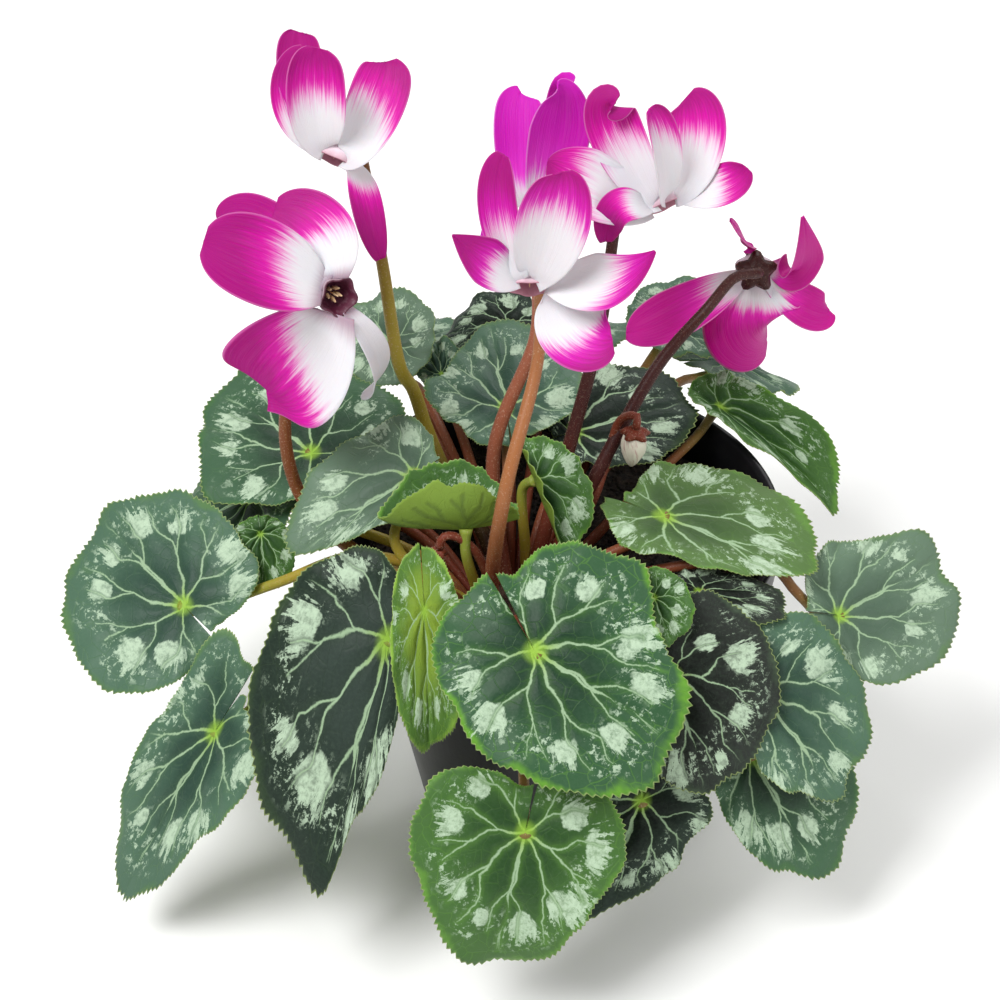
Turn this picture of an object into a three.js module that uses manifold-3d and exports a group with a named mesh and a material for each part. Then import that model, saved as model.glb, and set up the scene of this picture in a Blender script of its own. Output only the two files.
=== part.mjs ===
// A potted cyclamen in flower: a black nursery pot filled with peat, a tuber with all of its
// leaf and flower stalks, one solid for each silver-marbled blade, and one for each bloom and bud.
// Millimetres, +Z up. The origin is the middle of the pot's foot, on the surface it stands on.
import * as THREE from 'three';
import { mergeVertices } from 'three/addons/utils/BufferGeometryUtils.js';
import Module from 'manifold-3d';

const wasm = await Module();
wasm.setup();

// Driving sizes
const POT_HEIGHT = 124;
const POT_RIM_RADIUS = 76;
const POT_FOOT_RADIUS = 51;
const POT_WALL = 2.2;
const RIM_BAND = 14;
const SOIL_DEPTH_BELOW_RIM = 17;
const BLADE_THICKNESS = 0.8;
const PETAL_THICKNESS = 0.8;
const PETIOLE_RADIUS = 1.7;
const FLOWER_STALK_RADIUS = 2.7;
const CALYX_THICKNESS = 1.4;
const CALYX_RADIUS = 5;
const THROAT_RADIUS = 6.2;
const THROAT_DEPTH = 8;
const POT_FLOOR = 2.6;
const HOLES = 6;
const HOLE_RADIUS = 4;
const HOLE_CIRCLE = 36;
const TOUCHING_GAP = 0.3;

// How finely the curved pieces are cut into flat faces
const BLADE_SPOKES = 28;
const BLADE_RINGS = [0.55, 1];
const SLIT_EDGE = 4; // degrees from the slit's middle to the first point of each base lobe
const SLIT_FOOT = 0.1; // where the slit ends, as a share of the base lobes' reach
const TOOTH = 0.022; // height of an edge tooth, as a share of the reach
const EDGE_START = -165; // direction of the first edge value, in degrees
const EDGE_STEP = 30;
const EDGE_LOBES = 7;
const EDGE_LOBE_HEIGHT = 0.018; // as a share of the reach
const STALK_SIDES = 5;
const PETIOLE_SIDES = 4;
const PETIOLE_STEPS = { inside: 5, overRim: 7 };
const FLOWER_STALK_STEPS = 10;
const BUD_STALK_STEPS = 5;
const POT_SIDES = 28;

const SOIL_TOP = POT_HEIGHT - SOIL_DEPTH_BELOW_RIM;
const TUBER = { x: -17, y: -30, z: SOIL_TOP - 3, radius: 19, height: 15 };
const RIM_CROSSING = POT_HEIGHT + 8; // height at which a petiole passes over the rim
const RIPPLES = 5; // waves round the edge of a blade
const UP = new THREE.Vector3(0, 0, 1);
const radians = THREE.MathUtils.degToRad;
const TIP_SPREAD = radians(11); // how far to each side a pointed tip reaches

// Each leaf: its junction with the petiole, the heading, pitch and roll of its midrib in degrees,
// the length from the junction to the tip, and what sets it apart from the plain blade.
const PLAIN_BLADE = {
  breadth: 0.9, // width against the plain outline
  tip: 0, // how far a pointed tip stands out, as a share of the reach
  skew: 0, // how much wider the right half is, as a share
  back: 0.6, // reach of the base lobes, as a share of the length
  lop: 0, // how much shorter the right base lobe is, as a share, or the left one if negative
  taper: 1.2, // how fast it narrows to the tip
  slit: 0, // degrees that the slit stands off the midrib's line
  droop: 15, // degrees that the tip bends down
  lobes: 10, // degrees that the base lobes bend down
  left: -12, // degrees that each half bends up
  right: -12,
  fold: 4, // degrees that each half is folded up along the midrib
  wave: 1.5, // height of the waves of the edge
  stem: 8, // how far the petiole runs square to the blade before it bends away
  // reach against the plain outline every 30 degrees, from the left base lobe to the right one
  edge: [1, 1, 1, 1, 1, 1, 1, 1, 1, 1, 1, 1],
};
const LEAVES = [
  {
    name: 'left', at: [-127, -36, 114], turn: [135, 16, 31], length: 52, breadth: 0.85, back: 0.5,
    droop: 20, edge: [0.65, 0.9, 1.15, 1.15, 1.02, 0.95, 0.9, 0.94, 0.9, 0.98, 0.75, 0.5],
    tip: 0.05,
  },
  {
    name: 'low_left', at: [-115, -71, 90], turn: [-148, -50, 24], length: 62, breadth: 0.5,
    back: 0.6, lop: 0.2, droop: 25, lobes: -10, fold: 12, wave: 3, skew: 0.1,
    edge: [0.45, 0.45, 0.95, 1, 0.85, 1.1, 1.05, 0.85, 0.75, 0.85, 1.3, 0.9], tip: 0.06,
  },
  {
    name: 'long_dark', at: [-56, -74, 134], turn: [-119, -52, 12], length: 86, breadth: 0.42,
    skew: 0.45, back: 0.42, taper: 1.4, droop: 20, lobes: 30, left: -50, right: -18, fold: 2,
    wave: 2, edge: [0.3, 0.3, 0.35, 0.55, 0.78, 0.8, 1, 1, 1.12, 1.12, 0.95, 0.55], tip: 0.17,
  },
  {
    name: 'under_left_bloom', at: [-86, 16, 138], turn: [136, 7, 10], length: 48, back: 0.5,
    edge: [0.9, 0.8, 0.85, 1.1, 0.95, 0.98, 1.15, 1.1, 1.15, 1.3, 1.3, 1],
  },
  { name: 'dark_teal', at: [-108, 15, 118], turn: [174, -24, 7], length: 34, breadth: 1.1 },
  {
    name: 'small_green', at: [-102, -15, 128], turn: [-80, -40, 0], length: 20, back: 0.3,
    breadth: 0.8,
  },
  {
    name: 'pointed_silver', at: [-49, -20.5, 158], turn: [-154, -19, 17], length: 48,
    breadth: 0.66, skew: 0.2, back: 0.4, way: [[-40, -34, 118], [-56, -29, 137]], stem: 5,
    edge: [0.5, 0.5, 0.6, 0.6, 0.6, 0.75, 0.95, 0.92, 0.87, 1, 0.75, 0.5], tip: 0.1,
  },
  {
    name: 'cupped_olive', at: [-32, -42, 153.5], turn: [190, 4, -15], length: 29, breadth: 0.95,
    droop: -20, lobes: -20, left: 30, right: 30, fold: 50, wave: 1, skew: 0, back: 0.62,
  },
  {
    name: 'centre_top', at: [-19, 27, 149], turn: [97, 8, 1], length: 48, breadth: 0.75,
    edge: [0.6, 0.75, 0.7, 0.95, 0.75, 0.9, 1.05, 0.95, 1, 0.8, 0.6, 0.5],
  },
  {
    name: 'arched_dark', at: [-18, 78, 147], turn: [172, 1, 10], length: 27, droop: 50, lobes: 25,
    left: -18, right: -18,
  },
  { name: 'sage_behind', at: [-60, 67, 146], turn: [120, 16, 26], length: 26 },
  {
    name: 'upright_grey', at: [-42, 60, 138.5], turn: [101, 35, 8], length: 14, breadth: 0.8,
    back: 0.5,
  },
  {
    name: 'dark_right', at: [4, 27, 138], turn: [24, 3, -12], length: 48, back: 0.4, lop: -0.6,
    lobes: 0, edge: [0.9, 0.75, 0.75, 0.8, 0.95, 1.03, 0.92, 0.78, 0.6, 0.55, 0.6, 0.7],
  },
  { name: 'grey_green_behind', at: [40, 88, 142], turn: [20, 2, -7], length: 32, back: 0.45 },
  {
    name: 'folded_right', at: [57, 50, 132], turn: [-23, -24, -14], length: 50, breadth: 0.42,
    droop: 25, fold: 35, left: 5, right: 5, lobes: 20, back: 0.25,
    way: [[28, 14, 123], [50, 42, 126]], stem: 4,
    edge: [1, 1, 1, 1.05, 1.2, 1.15, 1, 0.9, 1, 1.1, 1, 1], tip: 0.12,
  },
  {
    name: 'wide_right', at: [33, -23, 142.5], turn: [-23, -7, -13], length: 57, breadth: 0.6,
    taper: 1.5, back: 0.5, right: -3,
    edge: [0.5, 0.6, 0.95, 1.08, 1.12, 0.96, 0.75, 0.6, 0.6, 0.84, 0.75, 0.75],
  },
  {
    name: 'taco_young', at: [-9, -12, 149], turn: [-60, -38, 15], length: 27, breadth: 0.7,
    fold: 46, left: 20, right: 30, wave: 0.5, back: 0.55, skew: -0.15,
  },
  {
    name: 'front', at: [-10, -88, 142], turn: [-27, -18, -34], length: 50, breadth: 0.95,
    slit: 31, edge: [0.9, 1.1, 1.12, 1.1, 0.88, 1, 1.1, 1, 0.92, 0.9, 1, 0.98],
  },
  {
    name: 'front_bottom', at: [-13, -114, 88], turn: [-112, -56, 18], length: 49, breadth: 0.86,
    droop: 30, fold: 6, wave: 2,
    edge: [0.6, 0.85, 1.05, 0.92, 0.85, 1.02, 1.05, 0.95, 1.02, 1.12, 0.8, 0.5], tip: 0.05,
  },
  {
    name: 'dark_under', at: [25, -97, 84], turn: [-129, -54, 43], length: 42, stem: 6,
    edge: [0.8, 0.6, 0.85, 0.7, 0.75, 0.9, 0.93, 0.6, 0.45, 0.45, 0.6, 0.8], tip: 0.14,
  },
  {
    name: 'dark_front_right', at: [34, -78, 123], turn: [-66, -44, -7], length: 44, back: 0.38,
    stem: 3, edge: [1.3, 1.6, 1.4, 1.25, 1, 0.9, 0.85, 0.75, 0.65, 0.65, 0.8, 1],
  },
  {
    name: 'right_front', at: [65, -74, 110], turn: [-35, -45, -20], length: 52, breadth: 0.75,
    back: 0.3, lobes: 60, edge: [0.8, 1.4, 1.5, 1.2, 1, 0.85, 0.75, 0.65, 0.5, 0.5, 0.5, 0.6],
    tip: 0.06,
  },
  {
    name: 'low_right', at: [62, -76, 84], turn: [-39, -50, -27], length: 50, breadth: 0.75,
    back: 0.3, lobes: 50, edge: [0.5, 0.5, 0.85, 1.1, 1.1, 1.05, 0.9, 0.75, 0.7, 0.65, 0.5, 0.45],
    tip: 0.07,
  },
  {
    name: 'far_right', at: [92, -40, 113], turn: [35, 3, -35], length: 50, breadth: 0.75,
    back: 0.32, slit: 40, edge: [0.8, 0.9, 1, 0.92, 0.8, 1, 1, 1.15, 1.08, 0.82, 0.95, 0.8],
  },
  {
    name: 'grey_purple', at: [44, -46.5, 130.3], turn: [-11, -1, -3], length: 30, breadth: 0.5,
    back: 0.4, stem: 4,
  },
  {
    name: 'lime_twisted', at: [-45, -71, 144], turn: [-84, -58, 5], length: 47, breadth: 0.36,
    fold: 12, left: 30, right: 30, back: 0.45,
  },
  { name: 'olive_tip', at: [28, -66, 145], turn: [-61, -45, -20], length: 16 },
  {
    name: 'back_middle', at: [0, 100, 128], turn: [85, -18, 0], length: 46, droop: 25,
    breadth: 0.75,
  },
  { name: 'back_left', at: [-62, 92, 126], turn: [125, -15, 0], length: 44, droop: 25 },
  {
    name: 'back_right', at: [62, 92, 121], turn: [40, -25, 0], length: 38, droop: 25, stem: 4,
    breadth: 0.8,
  },
];

// Main colour of each blade, seen from above
const GREY_GREEN = '#557a62';
const DARK_GREEN = '#33403d';
const BRIGHT_GREEN = '#5f8a46';
const DARK_BLADES = [
  'long_dark', 'dark_teal', 'dark_right', 'arched_dark', 'dark_under', 'dark_front_right',
  'grey_purple', 'upright_grey',
];
const BRIGHT_BLADES = [
  'front_bottom', 'wide_right', 'folded_right', 'cupped_olive', 'taco_young', 'lime_twisted',
  'olive_tip', 'small_green',
];

// Directions of a blade: along its midrib, across it, and up out of its face.
function bladeFrame(heading, pitch, roll) {
  const along = direction(heading, pitch);
  const level = new THREE.Vector3().crossVectors(along, UP).normalize();
  const face = new THREE.Vector3().crossVectors(level, along).normalize();
  const across = level.clone().multiplyScalar(Math.cos(roll)).addScaledVector(face, Math.sin(roll));
  const out = face.multiplyScalar(Math.cos(roll)).addScaledVector(level, -Math.sin(roll));
  return { along, across, out };
}

function readLeaf(entry, number) {
  const leaf = { ...PLAIN_BLADE, ...entry, number, place: vector(entry.at) };
  const [heading, pitch, roll] = entry.turn;
  leaf.frame = bladeFrame(heading, pitch, radians(roll));
  for (const bend of ['droop', 'lobes', 'left', 'right', 'fold']) leaf[bend] = radians(leaf[bend]);
  return leaf;
}

// How far a blade reaches in a direction, against the plain outline: a smooth curve through the
// blade's own edge values, with shallow lobes and the tip on top.
function edgeShare(leaf, angle) {
  const last = leaf.edge.length - 1;
  const place = Math.min(last, Math.max(0, (THREE.MathUtils.radToDeg(angle) - EDGE_START) / EDGE_STEP));
  const i = Math.min(last - 1, Math.floor(place));
  const t = place - i;
  const [a, b] = [leaf.edge[i], leaf.edge[i + 1]];
  const before = leaf.edge[Math.max(0, i - 1)];
  const after = leaf.edge[Math.min(last, i + 2)];
  const rise = (b - before) / 2;
  const fall = (after - a) / 2;
  const bow = 3 * (b - a) - 2 * rise - fall;
  const turn = 2 * (a - b) + rise + fall;
  const curve = a + t * rise + t * t * bow + t ** 3 * turn;
  const lobes = Math.sin(EDGE_LOBES * angle + leaf.number) + 0.6 * Math.sin(3 * angle + 2.3 * leaf.number);
  const tip = leaf.tip * Math.exp(-((angle / TIP_SPREAD) ** 2));
  return curve + EDGE_LOBE_HEIGHT * lobes + tip;
}

// The edge of the flat heart outline in a direction from the junction, with 0 at the tip. The slit
// between the two base lobes opens behind the junction.
function outlinePoint(leaf, angle, tooth) {
  const forward = (1 + Math.cos(angle)) / 2;
  const right = angle > 0;
  const back = leaf.back * (1 - Math.max(0, right ? leaf.lop : -leaf.lop));
  const plain = back + (1 - back) * forward ** leaf.taper;
  const reach = leaf.length * plain * edgeShare(leaf, angle) * (1 + tooth);
  const slitShift = radians(leaf.slit) * (1 - forward) * Math.abs(angle) / Math.PI;
  const shifted = angle + slitShift;
  const breadth = leaf.breadth * (1 + (right ? leaf.skew : -leaf.skew));
  return [reach * Math.sin(shifted) * breadth, reach * Math.cos(shifted)];
}

// Distance gone along and away from a straight line by a curve that turns evenly.
function evenTurn(distance, startAngle, turn) {
  if (Math.abs(turn) < 1e-6) {
    return [distance * Math.cos(startAngle), distance * Math.sin(startAngle)];
  }
  const end = startAngle + turn;
  const radius = distance / turn;
  return [radius * (Math.sin(end) - Math.sin(startAngle)), radius * (Math.cos(startAngle) - Math.cos(end))];
}

// Where a point of the flat outline lands on the bent blade.
function bladePoint(leaf, x, y) {
  const half = 0.7 * leaf.length;
  const curl = x > 0 ? leaf.right : leaf.left;
  const bend = y > 0 ? leaf.droop : leaf.lobes;
  const share = Math.abs(y) / leaf.length;
  const [gone, dropped] = evenTurn(Math.abs(y), 0, bend * share);
  const lean = bend * share * Math.sign(y);
  const [side, rise] = evenTurn(Math.abs(x), leaf.fold, (curl * Math.abs(x)) / half);
  const radius = Math.hypot(x, y) / leaf.length;
  const ripple = leaf.wave * radius ** 3 * Math.sin(RIPPLES * Math.atan2(x, y) + leaf.number * 1.7);
  const lift = rise + ripple;
  return leaf.place.clone()
    .addScaledVector(leaf.frame.across, Math.sign(x) * side)
    .addScaledVector(leaf.frame.along, Math.sign(y) * gone + lift * Math.sin(lean))
    .addScaledVector(leaf.frame.out, lift * Math.cos(lean) - dropped);
}

function bladeNormal(leaf, x, y) {
  const step = 0.5;
  const dx = bladePoint(leaf, x + step, y).sub(bladePoint(leaf, x - step, y));
  const dy = bladePoint(leaf, x, y + step).sub(bladePoint(leaf, x, y - step));
  return dx.cross(dy).normalize();
}

// A closed sheet from a list of middle points with their normals, and one list of faces that
// serves both sides. The rim goes round the open edge.
function thickSheet(points, normals, faces, rim, thickness) {
  const positions = [];
  for (const side of [0.5, -0.5]) {
    points.forEach((point, i) => {
      const moved = point.clone().addScaledVector(normals[i], side * thickness);
      positions.push(moved.x, moved.y, moved.z);
    });
  }
  const count = points.length;
  const index = [];
  for (const [a, b, c] of faces) {
    index.push(a, b, c, a + count, c + count, b + count);
  }
  rim.forEach((a, i) => {
    const b = rim[(i + 1) % rim.length];
    index.push(a, a + count, b, b, a + count, b + count);
  });
  const geometry = new THREE.BufferGeometry();
  geometry.setAttribute('position', new THREE.Float32BufferAttribute(positions, 3));
  geometry.setIndex(index);
  return geometry;
}

// Directions of the outline's points, closer together where the slit's two edges are.
function spokeAngle(i) {
  const edge = radians(SLIT_EDGE);
  if (i === 0) return Math.PI;
  return Math.PI - edge - ((2 * Math.PI - 2 * edge) * (i - 1)) / (BLADE_SPOKES - 2);
}

function bladeGeometry(leaf) {
  const flat = [[0, 0]];
  for (const ring of BLADE_RINGS) {
    for (let i = 0; i < BLADE_SPOKES; i += 1) {
      const tooth = ring === 1 && i > 0 ? TOOTH * (i % 2 === 0 ? 1 : -1) : 0;
      const depth = i === 0 ? SLIT_FOOT : 1;
      const [x, y] = outlinePoint(leaf, spokeAngle(i), tooth);
      flat.push([x * ring * depth, y * ring * depth]);
    }
  }
  const points = flat.map(([x, y]) => bladePoint(leaf, x, y));
  const normals = flat.map(([x, y]) => bladeNormal(leaf, x, y));
  const faces = [];
  const inner = 1;
  const outer = 1 + BLADE_SPOKES;
  for (let i = 0; i < BLADE_SPOKES; i += 1) {
    const next = (i + 1) % BLADE_SPOKES;
    faces.push([0, inner + i, inner + next]);
    faces.push([inner + i, outer + i, outer + next], [inner + i, outer + next, inner + next]);
  }
  const rim = Array.from({ length: BLADE_SPOKES }, (_, i) => outer + i);
  return thickSheet(points, normals, faces, rim, BLADE_THICKNESS);
}

// One row for each petal: middle and tip of its centre line, greatest width, cup in degrees, the
// azimuth and height of the direction that its face looks in, and, where it isn't round-ended, how
// pointed it is. A bloom also has the middle of its throat and the azimuth and height of the way
// the throat opens.
const BLOOMS = {
  left: {
    throat: [-71, -20, 229],
    opens: [-60, 15],
    petals: [
      [-90, -25, 243, -110, -29, 256, 28, 30, -80, 45],
      [-76, -12, 243, -91, -3, 250, 25, 25, -80, 40],
      [-85, -22, 207, -96, -19, 192, 42, 30, -80, 30],
      [-90, -7, 241, -110, 12, 235, 20, 20, -80, 45],
      [-61, -20, 209, -66, -4, 179, 12, 30, -30, 10],
    ],
  },
  upper_left: {
    throat: [-73, 10, 260],
    opens: [-120, -40],
    petals: [
      [-77, 7, 281, -76, 9, 300, 21, 55, -85, 20],
      [-84, 12, 276, -80, 14, 296, 15, 40, -130, 20],
      [-82, 17, 280, -83, 26, 296, 15, 30, -80, 20],
      [-61, 15, 273, -56, 27, 285, 19, 30, -80, 40],
      [-64, 8, 249, -59, 2, 228, 11, 20, -60, 20],
    ],
  },
  centre: {
    throat: [-12, -31, 240],
    opens: [-90, -35],
    petals: [
      [-6, -37, 265, -3, -38, 286, 24, 45, -90, 35, 0.3],
      [-20, -31, 261, -20, -27, 285, 13, 30, -110, 30],
      [6, -36, 245, 25, -39, 259, 18, 25, -80, 45, 1],
      [1, -34, 231, 13, -42, 229, 27, 25, -90, 40],
      [-23, -37, 252, -35, -41, 266, 15, 20, -100, 50, 1],
    ],
  },
  lilac_behind: {
    throat: [-10, 35, 227],
    opens: [-90, -50],
    petals: [
      [-15, 39, 246, -14, 50, 260, 17, 35, -90, 30],
      [-3, 31, 252, -3, 28, 276, 21, 30, -80, 35, 0.8],
      [-1, 47, 244, 1, 39, 270, 12, 20, -90, 40],
      [-21, 33, 221, -25, 27, 212, 10, 20, -110, 30],
      [6, 39, 228, 16, 45, 233, 15, 20, -90, 50],
    ],
  },
  upper_right: {
    throat: [31, 20, 236],
    opens: [-60, -40],
    petals: [
      [18, 22, 256, 15, 24, 272, 18, 20, -90, 40],
      [10, 15, 246, -6, 15, 256, 22, 25, -90, 40, 0.8],
      [30, 14, 256, 25, 12, 277, 15, 60, -50, 30],
      [40, 23, 255, 38, 30, 271, 20, 25, -85, 40],
      [46, 18, 244, 57, 16, 253, 14, 20, -90, 50],
      [19, 9, 244, 13, 15, 226, 12, 20, -90, 50],
    ],
  },
  right: {
    throat: [66, 51, 190],
    opens: [90, -30],
    petals: [
      [43, 42, 180, 22, 35, 175, 19, 30, -95, 55, 0.4],
      [66, 43, 175, 73, 56, 157, 36, -25, -90, 35],
      [82, 49, 178, 94, 55, 170, 15, 10, -90, 40],
      [80, 48, 192, 79, 37, 221, 17, 20, -60, 20, 1],
      [63, 50, 201, 55, 36, 220, 7, 20, -90, 60],
    ],
  },
};

// Buds: middle of the base, tip, greatest radius.
const BUDS = {
  right: { base: [24, -4, 163], tip: [23, -5, 149], radius: 4.6 },
  young: { base: [-41, -45, 146], tip: [-44, -45, 134], radius: 3 },
};

// The way that each flower or bud stalk takes, from low to high. It starts in the tuber and ends
// in the calyx.
const FLOWER_STALKS = {
  left: [
    [-40, -34, 119], [-62, -28, 125], [-80, -14, 130], [-88, -8, 138], [-92, -8, 160],
    [-90, -8, 185], [-85, -8, 210],
  ],
  upper_left: [
    [-26, -8, 120], [-40, 9, 136], [-46, 14, 150], [-50, 12, 168], [-54, 2, 186], [-59, 12, 220],
    [-64, 22, 248], [-67, 22, 268],
  ],
  centre: [[-24, -38, 120], [-19, -48, 176], [-9, -25, 210], [-9, -18, 232]],
  lilac_behind: [[-23, 2, 150], [-9, 18, 187], [-9, 32, 203], [-11, 46, 219], [-11, 46, 232]],
  upper_right: [[12, 14, 192], [15, 24, 212], [18, 32, 228], [23, 33, 240]],
  right: [[26, 10, 168], [35, 18, 179], [48, 24, 193], [58, 34, 199]],
};
const BUD_STALKS = {
  right: [[10, -8, 135], [15, 0, 147], [19, 3, 162]],
  young: [[-25, -40, 130], [-31, -43, 147], [-37, -44, 152]],
};

const PETAL_FOOT = 0.36; // width where a petal leaves the tube, as a share of its greatest
const PETAL_WIDEST = 0.62; // where a petal is widest, as a share of its length
const PETAL_STEPS = [0, 0.3, PETAL_WIDEST, 0.86, 1];
const PETAL_CUTS = [-1, -0.5, 0, 0.5, 1];

function vector(values) {
  return new THREE.Vector3(values[0], values[1], values[2]);
}

function direction(azimuth, height) {
  const [a, h] = [radians(azimuth), radians(height)];
  return new THREE.Vector3(Math.cos(h) * Math.cos(a), Math.cos(h) * Math.sin(a), Math.sin(h));
}

function toSolid(geometry) {
  const bare = geometry.clone();
  bare.deleteAttribute('normal');
  bare.deleteAttribute('uv');
  const merged = mergeVertices(bare, 1e-4);
  const mesh = new wasm.Mesh({
    numProp: 3,
    vertProperties: new Float32Array(merged.attributes.position.array),
    triVerts: new Uint32Array(merged.index.array),
  });
  return new wasm.Manifold(mesh);
}

function toGeometry(solid) {
  const mesh = solid.getMesh();
  const geometry = new THREE.BufferGeometry();
  geometry.setAttribute('position', new THREE.BufferAttribute(mesh.vertProperties, 3));
  geometry.setIndex(new THREE.BufferAttribute(mesh.triVerts, 1));
  return geometry;
}

function fuse(geometries) {
  return toGeometry(geometries.map(toSolid).reduce((whole, piece) => whole.add(piece)));
}

// Turns a shape that was made along +Z to point along a direction, and sets it down at a place.
function aim(geometry, towards, place) {
  const turn = new THREE.Quaternion().setFromUnitVectors(UP, towards);
  return geometry.applyQuaternion(turn).translate(place.x, place.y, place.z);
}

// Half of a petal's width at a share of its length.
function petalHalfWidth(width, share, point) {
  if (share < PETAL_WIDEST) {
    const grown = Math.sin((Math.PI / 2) * (share / PETAL_WIDEST)) ** 1.3;
    return (width / 2) * (PETAL_FOOT + (1 - PETAL_FOOT) * grown);
  }
  const gone = (share - PETAL_WIDEST) / 0.4;
  const rounded = Math.sqrt(1 - gone ** 2.2);
  const pointed = 1 - gone ** 1.4;
  return (width / 2) * (rounded + point * (pointed - rounded));
}

function petalPoint(petal, share, cut) {
  const { root, hip, middle, tip, width, cup, face, point } = petal;
  const knee = middle.clone().multiplyScalar(8).sub(root).addScaledVector(hip, -3).sub(tip).divideScalar(3);
  const curve = new THREE.CubicBezierCurve3(root, hip, knee, tip);
  const along = curve.getTangent(share);
  const across = new THREE.Vector3().crossVectors(along, face).normalize();
  const out = new THREE.Vector3().crossVectors(across, along);
  const half = petalHalfWidth(width, share, point);
  const reach = half * Math.abs(cut);
  const [side, rise] = evenTurn(reach, 0, (cup * Math.abs(cut) * half * 2) / width);
  return curve.getPoint(share).addScaledVector(across, Math.sign(cut) * side).addScaledVector(out, rise);
}

function petalGeometry(petal) {
  const points = [];
  const normals = [];
  const step = 0.01;
  for (const share of PETAL_STEPS) {
    for (const cut of PETAL_CUTS) {
      const from = Math.max(0, share - step);
      const to = Math.min(1, share + step);
      const along = petalPoint(petal, to, cut).sub(petalPoint(petal, from, cut));
      const left = Math.max(-1, cut - 0.05);
      const right = Math.min(1, cut + 0.05);
      const across = petalPoint(petal, share, right).sub(petalPoint(petal, share, left));
      points.push(petalPoint(petal, share, cut));
      normals.push(across.cross(along).normalize());
    }
  }
  const wide = PETAL_CUTS.length;
  const long = PETAL_STEPS.length;
  const faces = [];
  for (let i = 0; i + 1 < long; i += 1) {
    for (let j = 0; j + 1 < wide; j += 1) {
      const corner = i * wide + j;
      faces.push([corner, corner + 1, corner + wide + 1], [corner, corner + wide + 1, corner + wide]);
    }
  }
  const rim = [];
  for (let j = 0; j < wide - 1; j += 1) rim.push(j);
  for (let i = 0; i < long - 1; i += 1) rim.push(i * wide + wide - 1);
  for (let j = wide - 1; j > 0; j -= 1) rim.push((long - 1) * wide + j);
  for (let i = long - 1; i > 0; i -= 1) rim.push(i * wide);
  return thickSheet(points, normals, faces, rim, PETAL_THICKNESS);
}

// The short corolla tube that the petals grow from, open at the mouth.
function throatGeometry(bloom) {
  const wall = 1;
  const outline = [
    [0, -THROAT_DEPTH],
    [3.4, -THROAT_DEPTH],
    [5.6, -THROAT_DEPTH * 0.55],
    [THROAT_RADIUS, 0],
    [THROAT_RADIUS - wall, 0],
    [4.4, -THROAT_DEPTH * 0.5],
    [2.4, wall - THROAT_DEPTH],
    [0, wall - THROAT_DEPTH],
  ];
  const lathe = new THREE.LatheGeometry(outline.map(([r, h]) => new THREE.Vector2(r, h)), 7);
  return aim(lathe.rotateX(Math.PI / 2), direction(...bloom.opens), vector(bloom.throat));
}

function readPetal(bloom, row) {
  const throat = vector(bloom.throat);
  const opens = direction(...bloom.opens);
  const middle = new THREE.Vector3(row[0], row[1], row[2]);
  const outward = middle.clone().sub(throat);
  outward.addScaledVector(opens, -outward.dot(opens)).normalize();
  const root = throat.clone().addScaledVector(outward, THROAT_RADIUS - 0.6).addScaledVector(opens, -1);
  return {
    root,
    hip: root.clone().addScaledVector(outward, 5).addScaledVector(opens, 1),
    middle,
    tip: new THREE.Vector3(row[3], row[4], row[5]),
    width: row[6],
    cup: radians(row[7]),
    face: direction(row[8], row[9]),
    point: row[10] ?? 0,
  };
}

function bloomGeometry(bloom) {
  const petals = bloom.petals.map((row) => petalGeometry(readPetal(bloom, row)));
  return fuse([throatGeometry(bloom), ...petals]);
}

// How far a calyx sits behind the corolla tube or the base of a bud
const CALYX_OFFSET = CALYX_THICKNESS / 2 + TOUCHING_GAP;

function calyxPlace(bloom) {
  return vector(bloom.throat).addScaledVector(direction(...bloom.opens), -THROAT_DEPTH - CALYX_OFFSET);
}

function calyxGeometry(place, towards, radius) {
  const star = new THREE.Shape();
  for (let i = 0; i < 10; i += 1) {
    const angle = (Math.PI * i) / 5;
    const reach = i % 2 === 0 ? radius : radius * 0.62;
    const corner = [reach * Math.cos(angle), reach * Math.sin(angle)];
    if (i === 0) star.moveTo(...corner);
    else star.lineTo(...corner);
  }
  const plate = new THREE.ExtrudeGeometry(star, { depth: CALYX_THICKNESS, bevelEnabled: false });
  return aim(plate.translate(0, 0, -CALYX_THICKNESS / 2), towards, place);
}

// A closed round stalk along a smooth curve, thinner towards its end.
function stalkGeometry(points, startRadius, endRadius, steps, sides) {
  const curve = new THREE.CatmullRomCurve3(points, false, 'centripetal');
  const frames = curve.computeFrenetFrames(steps, false);
  const positions = [];
  for (let i = 0; i <= steps; i += 1) {
    const middle = curve.getPointAt(i / steps);
    const radius = startRadius + ((endRadius - startRadius) * i) / steps;
    for (let j = 0; j < sides; j += 1) {
      const angle = (2 * Math.PI * j) / sides;
      const point = middle.clone()
        .addScaledVector(frames.normals[i], radius * Math.cos(angle))
        .addScaledVector(frames.binormals[i], radius * Math.sin(angle));
      positions.push(point.x, point.y, point.z);
    }
  }
  const index = [];
  for (let i = 0; i < steps; i += 1) {
    for (let j = 0; j < sides; j += 1) {
      const next = (j + 1) % sides;
      const [a, b] = [i * sides + j, i * sides + next];
      index.push(a, b, b + sides, a, b + sides, a + sides);
    }
  }
  const last = steps * sides;
  for (let j = 1; j + 1 < sides; j += 1) {
    index.push(0, j + 1, j, last, last + j, last + j + 1);
  }
  const geometry = new THREE.BufferGeometry();
  geometry.setAttribute('position', new THREE.Float32BufferAttribute(positions, 3));
  geometry.setIndex(index);
  return geometry;
}

// The spot in the tuber's top that a stalk to a place starts from.
function stalkRoot(place, spread) {
  const away = new THREE.Vector3(place.x - TUBER.x, place.y - TUBER.y, 0);
  const reach = Math.min(spread, away.length());
  return new THREE.Vector3(TUBER.x, TUBER.y, TUBER.z).addScaledVector(away.normalize(), reach);
}

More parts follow.
